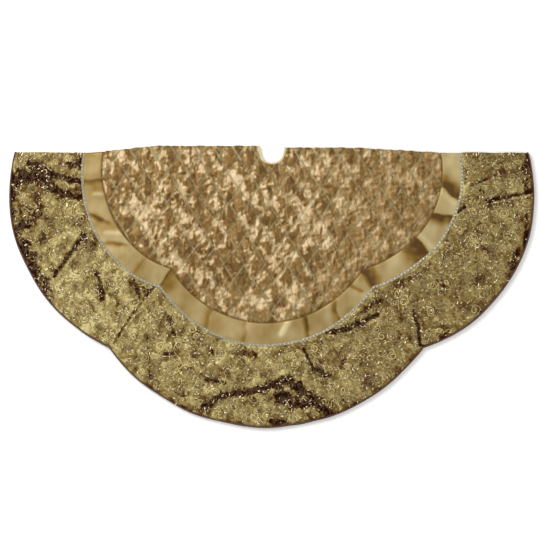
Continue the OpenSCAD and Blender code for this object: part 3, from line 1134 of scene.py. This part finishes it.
def normals_of(path, away_from=None, towards=None):
    """Unit vectors across a path, pointing away from a point or towards it."""
    run = np.gradient(path, axis=0)
    side = np.column_stack([run[:, 1], -run[:, 0]])
    side /= np.maximum(np.linalg.norm(side, axis=1, keepdims=True), 1e-9)
    point = away_from if away_from is not None else towards
    sign = np.sign(((path - np.array(point)) * side).sum(1, keepdims=True))
    side = side * np.where(sign == 0, 1, sign)
    return side if away_from is not None else -side


def rounded(d0, d1, v0, v1, power=0.7, count=14):
    """A soft rectangular section between two outward distances and two depths."""
    a = np.linspace(0, 2 * math.pi, count, endpoint=False)
    c, s = np.cos(a), np.sin(a)
    u = np.sign(c) * np.abs(c) ** power
    w = np.sign(s) * np.abs(s) ** power
    return np.column_stack([(d0 + d1) / 2 + (d1 - d0) / 2 * u, (v0 + v1) / 2 + (v1 - v0) / 2 * w])


def outline_path(discs, step, parts=PARTS, start_x=None, stop_x=None):
    pieces = []
    for part in parts:
        start = start_x if part == "centre" and parts[0] == "centre" else None
        stop = stop_x if part == "centre" and parts[-1] == "centre" else None
        first, last = arc_angles(discs, part, start, stop)
        count = int(abs(last - first) * discs[PARTS.index(part)][2] / step) + 2
        pieces.append(arc(discs, part, count, start, stop))
    joined = [pieces[0]] + [p[1:] for p in pieces[1:]]
    return np.concatenate(joined)


def edge_paths(discs, front_step, back_step, fold_count, left_stop, right_start):
    """An edge's line in each region, with the way outwards."""
    front = outline_path(discs, front_step)
    paths = {"front": (front, normals_of(front, away_from=MIDDLE))}
    for side, parts, start, stop in (("left", PARTS[:2], None, left_stop),
                                     ("right", PARTS[1:], right_start, None)):
        path = outline_path(discs, back_step, parts, start, stop)
        across = normals_of(path, away_from=MIDDLE)
        paths["back_" + side] = (path * (1, -1), across * (1, -1))
        path = fold_edge(discs, side, fold_count)
        paths["fold_" + side] = (path, normals_of(path, away_from=(0, 0)))
    return paths


def edge_nodes(region, kind):
    """The CAD nodes that an edge piece stands for."""
    if region.startswith("fold"):
        return []
    parts = PARTS if region == "front" else ("side", "centre")
    return [f"{region}_{kind}_{part}" for part in parts]


def hole_path(first, last, count):
    angle = np.linspace(first, last, count)
    return np.column_stack([HOLE_X * np.cos(angle), HOLE_Y * np.sin(angle)])


def make_hems():
    profile = rounded(-4.5, 0.0, -0.02, 1.0)
    for region, (path, across) in edge_paths(OUTLINE, 4.0, 4.5, 27, SLIT_LEFT, -SLIT_LEFT).items():
        obj = sweep("hem_" + region, path, across, profile, "hem")
        put_on(obj, region, "hem", *edge_nodes(region, "hem"), **EDGE_TURN)


def make_bindings():
    """The bias binding round the trunk hole."""
    profile = rounded(-4.5, 0.6, -0.02, 0.92, 0.8)
    split = math.asin(FOLD / HOLE_Y)
    slit_turn = math.acos(1.0 / HOLE_X)
    spans = {
        "front": (math.pi + split, 2 * math.pi - split),
        "fold_left": (math.pi + split, math.pi - split),
        "fold_right": (-split, split),
        "back_left": (math.pi - split, math.pi - slit_turn),
        "back_right": (split, slit_turn),
    }
    for region, (first, last) in spans.items():
        path = hole_path(first, last, max(int(abs(last - first) * 28 / 1.6), 6))
        obj = sweep("binding_" + region, path, normals_of(path, towards=(0, 0)), profile, "binding")
        nodes = [] if region.startswith("fold") else [region + "_hole_binding"]
        put_on(obj, region, "binding", *nodes, **EDGE_TURN)


# ---------------------------------------------------------------- stitching, embroidery and beads

REGIONS = ("front", "back_left", "back_right", "fold_left", "fold_right")
STITCH_PITCH = 4.3   # from one chain stitch to the next
LARGE_SCROLLS = 24.0   # the spacing of the large and of the small spirals
SMALL_SCROLLS = 19.0
GLINTS, SPARKS = 6500, 13000   # how many places are tried for sequins and bright stitches
BRAID_TURN = 7.5     # the length of one turn of the plait
# Rows of beads on the trim: the offset, the pitch, the radius and where the row starts.
BEAD_ROWS = ((-2.3, 2.6, 0.95, 0.6), (2.3, 2.6, 0.95, 1.9), (0.0, 8.7, 1.8, 4.0))


def region_of(x, y, margin=2.0):
    """Which piece a small decoration belongs to: an index into REGIONS, or -1 for the open slit."""
    fold = np.abs(y) < FOLD + margin
    found = np.where(fold, np.where(x < 0, 3, 4), 0)
    found = np.where(~fold & (y > 0), np.where(x < 0, 1, 2), found)
    gap = (y > FOLD) & (x > SLIT_LEFT - 2) & (x < SLIT_RIGHT + 1.5)
    return np.where(gap, -1, found)


def from_pattern(x, p):
    """The flat y of a place on the cloth, which is pattern_y the other way round."""
    extra = strip_length(x)
    inside_strip = -FOLD + (p + FOLD) * 2 * FOLD / extra
    return np.where(p <= -FOLD, p, np.where(p + FOLD < extra, inside_strip, p - extra + 2 * FOLD))


def chain_centres(pitch):
    """Centres and directions of the chain stitches along both families of quilting lines."""
    found = []
    for family in (0, 1):
        for n in range(-16, 17):
            s = np.arange(-18, 18, pitch / (0.5 * math.hypot(DIAMOND_W, DIAMOND_H)))
            u, v = (np.full_like(s, n), s) if family == 0 else (s, np.full_like(s, n))
            wx = NODE_X + (u + v) * DIAMOND_W / 2
            wy = NODE_Y + (u - v) * DIAMOND_H / 2
            x, p = wx.copy(), wy.copy()
            for _ in range(8):
                dx, dy = wander(x, p)
                x, p = wx - dx, wy - dy
            y = from_pattern(x, p)
            dx, dy = np.gradient(x), np.gradient(y)
            size = np.hypot(dx, dy)
            found.append(np.column_stack([x, y, dx / size, dy / size]))
    return np.concatenate(found)


def tube_faces(rings, sides, closed_ring):
    """Faces of a tube of `rings` sections of `sides` points, which may close on itself."""
    i = np.arange(rings if closed_ring else rings - 1)
    j = np.arange(sides)
    i, j = (a.ravel() for a in np.meshgrid(i, j, indexing="ij"))
    ni, nj = (i + 1) % rings, (j + 1) % sides
    return np.column_stack([i * sides + j, ni * sides + j, ni * sides + nj, i * sides + nj])


def repeated(faces, count, size):
    """The same faces for each of `count` copies of `size` points."""
    return (faces[None] + (np.arange(count) * size)[:, None, None]).reshape(-1, faces.shape[1])


class Gathered:
    """Points, faces and values of many small shapes, to be joined into one mesh."""

    def __init__(self):
        self.points, self.faces, self.values, self.count = [], [], {}, 0

    def add(self, points, faces, **values):
        points = points.reshape(-1, 3)
        self.points.append(points)
        self.faces.append(faces + self.count)
        for key, value in values.items():
            self.values.setdefault(key, []).append(np.ravel(value))
        self.count += len(points)

    def joined(self):
        values = {key: np.concatenate(found) for key, found in self.values.items()}
        return np.concatenate(self.points), np.concatenate(self.faces), values


def make_stitching():
    """Silver chain stitches, each a small teardrop loop of thread."""
    links = chain_centres(STITCH_PITCH)
    x, y = links[:, 0], links[:, 1]
    keep = (inside(PANEL, x, y) > 1.5) & (off_hole(x, y) > 4)
    regions = np.where(keep, region_of(x, y, 3.0), -1)
    rings, sides, thread = 8, 3, 0.5
    a = np.linspace(0, 2 * math.pi, rings, endpoint=False)[None, :, None]
    along, across = 2.9 * np.cos(a), 1.6 * np.sin(a) * (1 - 0.35 * np.cos(a))
    b = np.linspace(0, 2 * math.pi, sides, endpoint=False) + math.pi / 2
    out, rise = thread * np.cos(b), thread * np.sin(b)
    tones = np.random.default_rng(5).uniform(0.15, 1.0, len(links))
    for k, region in enumerate(REGIONS):
        got = links[regions == k]
        cx, cy, dx, dy = (got[:, i][:, None, None] for i in range(4))
        la, ac = along + np.cos(a) * out, across + np.sin(a) * out
        base = quilt_height(cx + dx * along - dy * across, cy + dy * along + dx * across)
        points = place(cx + dx * la - dy * ac, cy + dy * la + dx * ac, base + 0.45 + rise)
        faces = repeated(tube_faces(rings, sides, True), len(got), rings * sides)
        values = {"tone": np.repeat(tones[regions == k], rings * sides),
                  "run": np.tile(np.repeat(np.arange(rings) * 1.1, sides), len(got))}
        obj = new_object("stitching_" + region, points, [faces], MATERIALS["chain"], values)
        turn_outward(obj)
        put_on(obj, region, "quilted_taffeta")


def scroll_seeds(rng, spacing):
    """A jittered triangular lattice of places over the velvet of both halves."""
    rows = np.arange(-660, 660, spacing * 0.866)
    seeds = []
    for k, y in enumerate(rows):
        x = np.arange(-630, 630, spacing) + (k % 2) * spacing / 2
        seeds.append(np.column_stack([x, np.full_like(x, y)]))
    seeds = np.concatenate(seeds)
    seeds = seeds + rng.uniform(-0.2, 0.2, seeds.shape) * spacing
    margin = velvet_margin(seeds[:, 0], seeds[:, 1])
    return seeds[margin > 4], margin[margin > 4]


def velvet_margin(x, y):
    return np.minimum(inside(OUTLINE, x, y) - 4.0, -inside(BAND, x, y) + 1.0)


def spirals(rng, seeds, margin, sizes):
    """One spiral at each seed, with the direction in which its outer end leaves."""
    n, count = len(seeds), 44
    radius = np.minimum(rng.uniform(*sizes, n), np.maximum(margin - 1.0, 3.0))
    turns = rng.uniform(1.3, 2.2, n) * np.clip(radius / 11, 0.6, 1)
    hand = rng.choice([-1.0, 1.0], n)
    start = rng.uniform(0, 2 * math.pi, n)
    t = np.linspace(0, 1, count)[None, :]
    r = radius[:, None] * (0.13 + 0.87 * t ** 0.85)
    angle = start[:, None] - hand[:, None] * 2 * math.pi * turns[:, None] * (1 - t)
    squash = rng.uniform(0.45, 1.0, n)[:, None]
    tilt = rng.uniform(0, math.pi, n)[:, None]
    ex, ey = r * np.cos(angle), r * np.sin(angle) * squash
    x = seeds[:, 0][:, None] + ex * np.cos(tilt) - ey * np.sin(tilt)
    y = seeds[:, 1][:, None] + ex * np.sin(tilt) + ey * np.cos(tilt)
    heading = np.arctan2(y[:, -1] - y[:, -2], x[:, -1] - x[:, -2])
    width = 0.75 + 0.65 * np.sin(math.pi * np.clip(t * 1.05, 0, 1)) ** 0.6 + 0 * r
    return x, y, width, heading, hand


def tendrils(rng, x0, y0, heading, bend, long, count=24):
    """Curls that leave a point in a direction and wind up at their end."""
    n = len(x0)
    t = np.linspace(0, 1, count)[None, :]
    reach_mm = rng.uniform(*long, n)[:, None]
    turn = bend[:, None] * (0.6 * t + 3.6 * t ** 3) * rng.uniform(0.7, 1.3, n)[:, None]
    angle = heading[:, None] + turn
    step = reach_mm / (count - 1) * (1.15 - 0.7 * t)
    x = x0[:, None] + np.cumsum(np.cos(angle) * step, 1)
    y = y0[:, None] + np.cumsum(np.sin(angle) * step, 1)
    width = (1.15 - 0.65 * t) * np.clip(t * 8 + 0.45, 0, 1) + 0 * x
    return x, y, width


RIB = np.array([-1.0, -0.62, 0.0, 0.62, 1.0])
RIB_HIGH = np.array([-0.25, 0.45, 0.75, 0.45, -0.25])


def ribbon_mesh(x, y, width, rise):
    """Raised satin-stitch strokes along curves: a domed ribbon on the velvet."""
    dx, dy = np.gradient(x, axis=1), np.gradient(y, axis=1)
    size = np.maximum(np.hypot(dx, dy), 1e-6)
    nx, ny = -dy / size, dx / size
    px = x[:, :, None] + nx[:, :, None] * width[:, :, None] * RIB
    py = y[:, :, None] + ny[:, :, None] * width[:, :, None] * RIB
    h = velvet_height(px, py) + 0.25 + RIB_HIGH * rise
    run = np.cumsum(size, axis=1)[:, :, None] + 0 * px
    return px, py, h, run


def scroll_families(rng):
    """The embroidery's curves: large spirals with tails and sprigs, and small ones with tails."""
    seeds, margin = scroll_seeds(rng, LARGE_SCROLLS)
    x, y, width, heading, hand = spirals(rng, seeds, margin, (6.0, 14.5))
    tails = tendrils(rng, x[:, -1], y[:, -1], heading, -hand, (20, 34))
    rng.integers(0, len(seeds), len(seeds))   # not used: it keeps the later draws as they are
    k = rng.integers(10, 40, len(seeds))
    rows = np.arange(len(seeds))
    along = np.arctan2(y[rows, k + 1] - y[rows, k], x[rows, k + 1] - x[rows, k])
    sprigs = tendrils(rng, x[rows, k], y[rows, k], along - hand * 0.7, -hand, (12, 20), 16)
    small_seeds, small_margin = scroll_seeds(rng, SMALL_SCROLLS)
    sx, sy, small_width, small_heading, small_hand = spirals(rng, small_seeds, small_margin, (2.6, 6.0))
    small_tails = tendrils(rng, sx[:, -1], sy[:, -1], small_heading, small_hand * 0.8, (12, 26))
    families = [(x, y, width), tails, sprigs, (sx, sy, small_width * 0.75), small_tails]
    return [(fx + 2.4 * noise(fx, fy, 13, 73), fy + 2.4 * noise(fx, fy, 13, 74), fw)
            for fx, fy, fw in families]


def stroke_regions(x, y):
    """Each curve's region, or -1 where it would leave the velvet or cross the slit."""
    middle = x.shape[1] // 2
    touches = (np.abs(y) < FOLD + 2).any(1)
    where = region_of(x[:, middle], y[:, middle], 2.0)
    where = np.where(touches & (where >= 0), np.where(x[:, middle] < 0, 3, 4), where)
    slit = (y.max(1) > FOLD) & (x.max(1) > SLIT_LEFT - 2) & (x.min(1) < SLIT_RIGHT + 1.5)
    return np.where((velvet_margin(x, y).min(1) > 0.5) & ~slit, where, -1)


def stroke_tones(x, y, px, py, seed):
    """Each stroke's own tone, dimmed as painted shade where the pile under it is dark, a little dimmer to
    the right, and varying in patches.
    """
    own = np.random.default_rng(seed).uniform(0.15, 0.88, len(x))
    # Painted shade: threads dimmed where the pile's tone, with its painted shade, is dark.
    pile_shade_and_patchiness = smooth((velvet_tone(x, y) + 0.10) / 0.55)[:, :, None]
    pile_shade_and_patchiness = pile_shade_and_patchiness * (1 - 0.16 * smooth((x[:, :, None] - 100) / 200))
    pile_shade_and_patchiness = pile_shade_and_patchiness * (0.90 + 0.42 * noise(x, y, 34, 75))[:, :, None]
    return np.clip((own[:, None, None] + 0.35 * noise(px, py, 6.0, 71)) * pile_shade_and_patchiness, 0, 1)


def faces_outward(points, faces, region):
    """Each stroke's faces turned up on the front half and down on the back half."""
    if region.startswith("fold"):
        return faces
    a, b, c = (points[faces[:, i]] for i in range(3))
    up = np.cross(b - a, c - a)[:, 2] * (1 if region == "front" else -1)
    return np.where((up < 0)[:, None], faces[:, ::-1], faces)


def make_scrolls():
    """Metallic scroll embroidery over the whole border."""
    families = scroll_families(np.random.default_rng(11))
    owners = [stroke_regions(x, y) for x, y, _ in families]
    for r, region in enumerate(REGIONS):
        strokes = Gathered()
        for number, ((x, y, width), owner) in enumerate(zip(families, owners)):
            chosen = owner == r
            cx, cy = x[chosen], y[chosen]
            if not len(cx):
                continue
            px, py, h, run = ribbon_mesh(cx, cy, width[chosen], 1.0 if number == 0 else 0.8)
            n, m = cx.shape
            strokes.add(place(px, py, h), repeated(grid_faces(m, len(RIB)), n, m * len(RIB)),
                        tone=stroke_tones(cx, cy, px, py, 31 + r * 7 + number), run=run)
        points, faces, values = strokes.joined()
        faces = faces_outward(points, faces, region)
        obj = new_object("scrolls_" + region, points, [faces], MATERIALS["scroll"], values)
        put_on(obj, region, "velvet")


def dome(sides, rings):
    """A small dome's points (unit radius and height) and faces."""
    points, faces = [(0.0, 0.0, 1.0)], []
    for k in range(1, rings + 1):
        lift = math.cos(k / rings * math.pi / 2)
        wide = math.sin(k / rings * math.pi / 2)
        for j in range(sides):
            a = 2 * math.pi * j / sides
            points.append((wide * math.cos(a), wide * math.sin(a), lift))
    triangles = [(0, 1 + j, 1 + (j + 1) % sides) for j in range(sides)]
    for k in range(rings - 1):
        for j in range(sides):
            a, b = 1 + k * sides + j, 1 + k * sides + (j + 1) % sides
            faces.append((a, a + sides, b + sides, b))
    return np.array(points), np.array(triangles), np.array(faces)


def domes(name, x, y, base, wide, high, tone, mat, rings=2):
    """Many small domes standing on a cloth, as one object."""
    shape, triangles, quads = dome(8, rings)
    points = place(x[:, None] + wide[:, None] * shape[:, 0], y[:, None] + wide[:, None] * shape[:, 1],
                   base[:, None] + high[:, None] * shape[:, 2])
    n, size = len(x), len(shape)
    faces = [repeated(triangles, n, size), repeated(quads, n, size)]
    return new_object(name, points, faces, MATERIALS[mat], {"tone": np.repeat(tone, size)})


def scattered(rng, n):
    """Places over the whole opened skirt."""
    return rng.uniform(-620, 620, n), rng.uniform(-650, 650, n)


def make_glints():
    """Small gilt sequins and short stitches scattered among the scrolls; their near-white colour is partly
    their own pale gilt and partly a painted glint.
    """
    rng = np.random.default_rng(23)
    n = GLINTS
    x, y = scattered(rng, n)
    keep = velvet_margin(x, y) > 1.5
    density = 0.55 + 0.45 * noise(x, y, 70, 81)
    keep &= rng.uniform(0, 1, n) < density
    wide, tone = rng.uniform(0.7, 1.4, n), rng.uniform(0.1, 1.0, n)
    where = np.where(keep, region_of(x, y, 2.5), -1)
    for r, region in enumerate(REGIONS):
        s = where == r
        base = velvet_height(x[s], y[s]) + 0.5
        obj = domes("glints_" + region, x[s], y[s], base, wide[s], wide[s] * 0.75, tone[s], "glint")
        put_on(obj, region, "velvet")
    make_sparks(rng)


def make_sparks(rng):
    """Short raised stitches of bright thread, whose near-white colour is partly a painted glint."""
    n, count = SPARKS, 7
    x, y = scattered(rng, n)
    turn, bend = rng.uniform(0, 2 * math.pi, n), rng.uniform(-1.6, 1.6, n)
    long = rng.uniform(3.0, 9.0, n)
    density = 0.48 + 0.55 * noise(x, y, 45, 82) + 0.45 * noise(x, y, 16, 83)
    keep = (velvet_margin(x, y) > 3.5) & (rng.uniform(0, 1, n) < density)
    where = np.where(keep, region_of(x, y, 5.0), -1)
    t = np.linspace(0, 1, count)[None, :]
    angle = turn[:, None] + bend[:, None] * t
    px = x[:, None] + np.cumsum(np.cos(angle), 1) * long[:, None] / count
    py = y[:, None] + np.cumsum(np.sin(angle), 1) * long[:, None] / count
    thick = rng.uniform(0.45, 0.95, n)[:, None]
    width = 0.3 + thick * np.sin(math.pi * t) + 0 * px
    tone = rng.uniform(0.0, 1.0, n)
    for r, region in enumerate(REGIONS):
        s = where == r
        rx, ry, h, run = ribbon_mesh(px[s], py[s], width[s], 1.0)
        points = place(rx, ry, h + 0.35).reshape(-1, 3)
        k = int(s.sum())
        faces = repeated(grid_faces(count, 5), k, count * 5)
        values = {"tone": np.repeat(tone[s], count * 5), "run": run.ravel()}
        obj = new_object("sparks_" + region, points, [faces], MATERIALS["glint"], values)
        put_on(obj, region, "velvet")


def running_length(path):
    return np.concatenate([[0], np.cumsum(np.linalg.norm(np.diff(path, axis=0), axis=1))])


def at_length(path, length, wanted):
    return np.column_stack([np.interp(wanted, length, path[:, k]) for k in range(2)])


def trim_height(x, y):
    """The level of the seam between satin and velvet that the trim is sewn on."""
    return 0.9 + 0.3 * noise(x, y, 60, 91)


def braid(path, across, length):
    """Three gilt cords plaited along a line."""
    cords = Gathered()
    sides = 5
    b = np.linspace(0, 2 * math.pi, sides, endpoint=False)
    level = trim_height(path[:, :1], path[:, 1:])
    for strand in range(3):
        phase = 2 * math.pi * (length / BRAID_TURN + strand / 3)
        d, lift = 2.0 * np.sin(phase), 0.55 + 0.45 * np.cos(2 * phase)
        ring_d = d[:, None] + 0.95 * np.cos(b)
        ring_h = lift[:, None] + 0.75 * np.sin(b)
        tone = 0.5 + 0.3 * noise(path[:, 0], path[:, 1], 9, 92 + strand)
        points = place(path[:, :1] + across[:, :1] * ring_d, path[:, 1:] + across[:, 1:] * ring_d,
                       level + ring_h)
        cords.add(points, tube_faces(len(path), sides, False),
                  tone=np.repeat(tone, sides), run=np.repeat(length, sides))
    return cords.joined()


def make_trim():
    """A plait of three gilt cords on the seam, with seed beads on it and larger beads between."""
    rng = np.random.default_rng(41)
    paths = edge_paths(grown(BAND, -2.4), 0.7, 0.7, 71, SLIT_LEFT - 1, SLIT_RIGHT)
    for region, (path, across) in paths.items():
        length = running_length(path)
        points, faces, values = braid(path, across, length)
        obj = new_object("trim_" + region, points, [faces], MATERIALS["braid"], values)
        turn_outward(obj)
        put_on(obj, region, "bead_trim", *edge_nodes(region, "bead_trim"))
        make_trim_beads(region, path, across, length, rng)


def make_trim_beads(region, path, across, length, rng):
    """Two rows of seed beads and one of larger beads, which are paler."""
    spots = []
    for offset, pitch, radius, first in BEAD_ROWS:
        wanted = np.arange(first, length[-1] - 1.0, pitch)
        at, way = at_length(path, length, wanted), at_length(across, length, wanted)
        wobble = rng.normal(0, 0.15, (len(wanted), 1))
        spot = at + way * (offset + wobble)
        size = np.full(len(wanted), radius) * rng.uniform(0.9, 1.1, len(wanted))
        tone = rng.uniform(0.0, 0.6, len(wanted)) + (0.4 if radius > 1.2 else 0.0)
        tone = tone * (0.45 + 0.55 * smooth((at[:, 0] + 150) / 350))
        spots.append(np.column_stack([spot, size, np.clip(tone, 0, 1)]))
    x, y, size, tone = np.concatenate(spots).T
    obj = domes("beads_" + region, x, y, trim_height(x, y) + 0.7, size, size * 1.1, tone, "bead", 3)
    put_on(obj, region, "bead_trim")


# ---------------------------------------------------------------- the slit's edges, tapes and label

def flap_points(x, y, z):
    """Points of the back half from a flat place and a height above the floor."""
    x, y, z = same_shape(x, y, z)
    lx, ly = lay(x, y)
    return np.stack([lx * shrink(y), -ly * shrink(y), z], -1)


def slit_strip(name, x0, x1, z0, z1, body):
    """A folded strip of cloth along the slit, from the hole's binding to the hem."""
    profile = rounded(x0, x1, z0, z1, 0.35, 40)
    sx = profile[:, 0]
    top = np.maximum(FOLD + 1.5, HOLE_Y * np.sqrt(np.clip(1 - (sx / HOLE_X) ** 2, 0, 1)) + 3.5)
    cy, r = OUTLINE[1][1:]
    low = np.sqrt(r * r - sx * sx) - cy - 4.5
    t = np.linspace(0, 1, 260)[:, None]
    y = top[None, :] * (1 - t) + low[None, :] * t
    x = sx[None, :] + 0.35 * noise(np.broadcast_to(sx[None, :], y.shape), y, 35, 101)
    middle = (x - (x0 + x1) / 2) / ((x1 - x0) / 2)
    seam = np.exp(-((np.abs(middle) - 0.82) / 0.07) ** 2)
    puff = 1 - 0.4 * seam - 0.12 * (1 + noise(x, y, 9, 102))
    z = (z0 + z1) / 2 + (profile[:, 1][None, :] - (z0 + z1) / 2) * puff
    faces = [grid_faces(*y.shape, closed=True)] + end_caps(*y.shape)
    obj = new_object(name + "_strip", flap_points(x, y, z), faces, MATERIALS["facing"])
    turn_outward(obj)
    put_on(obj, body, "binding", name)


def tape_spans(node_name):
    """The lowest and highest y of each tape, from the CAD node."""
    levels = np.unique(np.round(node_points(node_name)[:, 1], 2))
    return [(-levels[k + 1], -levels[k]) for k in range(0, len(levels) - 1, 2)]


def rounded_slab(x0, x1, y0, y1, z0, z1, count=28):
    """Points of a thin slab with rounded corners: two rims and two slightly smaller faces."""
    rim = rounded(x0, x1, y0, y1, 0.25, count)
    middle = np.array([(x0 + x1) / 2, (y0 + y1) / 2])
    thick = z1 - z0
    layers = []
    for share, z in ((0.0, z0), (0.96, z0), (1.0, z0 + thick * 0.3),
                     (1.0, z1 - thick * 0.3), (0.96, z1), (0.0, z1)):
        layers.append(np.column_stack([middle + (rim - middle) * share, np.full(count, z)]))
    return np.stack(layers)


def pile_shape(bent, top):
    """How far a hook or loop runs along the tape and rises from it, in six steps."""
    t = np.linspace(0, 1, 6)
    if bent:
        lift = np.where(t < 0.75, np.sin(t / 0.75 * math.pi / 2), 1 - (t - 0.75) * 1.4) * top
        return 0.55 * np.sin(t * math.pi * 0.9), lift
    return 0.7 * (t - 0.5) * 2, np.sin(t * math.pi) * top


def pile_grid(rng, x0, x1, y0, y1, pitch):
    """Jittered places for the hooks or loops of one tape."""
    gx, gy = np.meshgrid(np.arange(x0 + 1.4, x1 - 1.2, pitch), np.arange(y0 + 1.6, y1 - 1.4, pitch * 1.15))
    gx = gx.ravel() + rng.uniform(-0.15, 0.15, gx.size)
    return gx, gy.ravel() + rng.uniform(-0.15, 0.15, gy.size)


def wires(gx, gy, way, run, height):
    """Thin three-sided wires at some places, each turned its own way."""
    half, turn = 0.12, np.array([0.0, 2.1, 4.2])
    c, s = np.cos(way)[:, None, None], np.sin(way)[:, None, None]
    along, across = run[None, :, None], half * np.cos(turn)
    x = gx[:, None, None] + c * along - s * across
    y = gy[:, None, None] + s * along + c * across
    return flap_points(x, y, height[None, :, None] + half * np.sin(turn))


def make_tapes(name, x_sign, base_low, base_high, pile_to, mat, body, pitch, bent):
    """Three tapes along the slit: a woven base with hooks or loops standing on it."""
    tapes = Gathered()
    rng = np.random.default_rng(61 if bent else 62)
    up = pile_to > base_high
    foot = base_high - 0.05 if up else base_low + 0.05
    run, lift = pile_shape(bent, pile_to - (base_high if up else base_low))
    x0, x1 = sorted((3.0 * x_sign, 23.0 * x_sign))
    for y0, y1 in tape_spans(name):
        slab = rounded_slab(x0, x1, y0, y1, base_low, base_high)
        tapes.add(flap_points(*np.moveaxis(slab, -1, 0)), grid_faces(*slab.shape[:2], closed=True))
        gx, gy = pile_grid(rng, x0, x1, y0, y1, pitch)
        way = rng.choice([0.0, math.pi], gx.size) if bent else rng.uniform(0, 2 * math.pi, gx.size)
        tapes.add(wires(gx, gy, way, run, foot + lift), repeated(tube_faces(6, 3, False), gx.size, 18))
    points, faces, _ = tapes.joined()
    obj = new_object(name + "_set", points, [faces], MATERIALS[mat])
    turn_outward(obj)
    put_on(obj, body, mat + "_tape", name)


def make_label():
    """A blank woven label, sewn to the lining by its upper edge."""
    low, high = (np.array(corner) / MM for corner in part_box("care_label"))
    x, y = np.meshgrid(np.linspace(low[0], high[0], 25), np.linspace(-high[1], -low[1], 37), indexing="ij")
    free = (y + high[1]) / (high[1] - low[1])
    curl = 0.25 * free ** 2 * (1 + np.cos((x - low[0]) / (high[0] - low[0]) * 2 * math.pi) * 0.5)
    points = flap_points(x, y, low[2] + 0.08 + curl).reshape(-1, 3)
    faces = facing(points, grid_faces(*x.shape), np.full(len(points), -1.0))
    obj = new_object("care_label_cloth", points, [faces], MATERIALS["label"])
    put_on(obj, "back_right", "label", "care_label")


def make_slit():
    slit_strip("slit_facing", -25.0, -1.2, 2.6, 4.8, "back_left")
    slit_strip("slit_placket", 1.2, 25.0, 2.0, 5.9, "back_right")
    make_tapes("hook_tapes", -1, 4.75, 5.2, 5.95, "hook", "back_left", 1.9, True)
    make_tapes("loop_tapes", 1, 1.6, 2.05, 0.85, "loop", "back_right", 1.7, False)
    make_label()


make_quilts()
make_rings("satin", PANEL, grown(BAND, -1.5), STEP_SATIN, satin_height, satin_tone)
make_rings("velvet", grown(BAND, -3.0), grown(OUTLINE, -1.0), STEP_VELVET, velvet_height, velvet_tone)
make_lining()
make_hems()
make_bindings()
make_stitching()
make_scrolls()
make_glints()
make_trim()
make_slit()


# ---------------------------------------------------------------- floor, light and camera

def make_floor():
    ends = np.linspace(-6000.0, 6000.0, 3)
    x, y = np.meshgrid(ends, ends, indexing="ij")
    points = np.stack([x, y, np.full_like(x, -0.6)], -1).reshape(-1, 3)
    mat, tree, shader = material("studio floor")
    grain = fine_noise(tree, 3.0)
    base_colour(tree, shader, grain, [(0.0, (0.93, 0.93, 0.93)), (1.0, (0.97, 0.97, 0.97))])
    constants(shader, {"Roughness": 0.9, "Specular IOR Level": 0.1})
    faces = facing(points, grid_faces(*x.shape), np.full(len(points), -1.0))
    obj = new_object("studio_floor", points, [faces], mat)


def area_light(name, at, aim, size, power, colour):
    data = bpy.data.lights.new(name, "AREA")
    data.shape = "DISK"
    data.size = size
    data.energy = power
    data.color = colour
    obj = bpy.data.objects.new(name, data)
    obj.location = at
    obj.rotation_euler = (Vector(aim) - Vector(at)).to_track_quat("-Z", "Y").to_euler()
    bpy.context.scene.collection.objects.link(obj)


def make_lights():
    world = bpy.data.worlds.new("studio")
    world.use_nodes = True
    background = world.node_tree.nodes["Background"]
    background.inputs["Color"].default_value = (1.0, 0.99, 0.97, 1)
    background.inputs["Strength"].default_value = 0.72
    bpy.context.scene.world = world
    area_light("key", (-1.3, 0.9, 2.2), (0.0, -0.3, 0.0), 1.9, 62, (1.0, 0.97, 0.92))
    area_light("fill", (1.6, -1.2, 2.4), (0.0, -0.3, 0.0), 1.8, 16, (1.0, 0.98, 0.95))


def make_camera():
    """Straight above, with a long lens. The view is 1.253 m wide at the cloth."""
    high, wide = 6.0, 1.2528
    data = bpy.data.cameras.new("camera")
    data.sensor_width = 36.0
    data.lens = 36.0 * high / wide
    data.clip_end = 100.0
    camera = bpy.data.objects.new("camera", data)
    camera.location = (-0.0046, -0.2749, high + 0.012)
    bpy.context.scene.collection.objects.link(camera)
    bpy.context.scene.camera = camera


make_floor()
make_lights()
make_camera()
bpy.context.scene.view_settings.view_transform = "Standard"
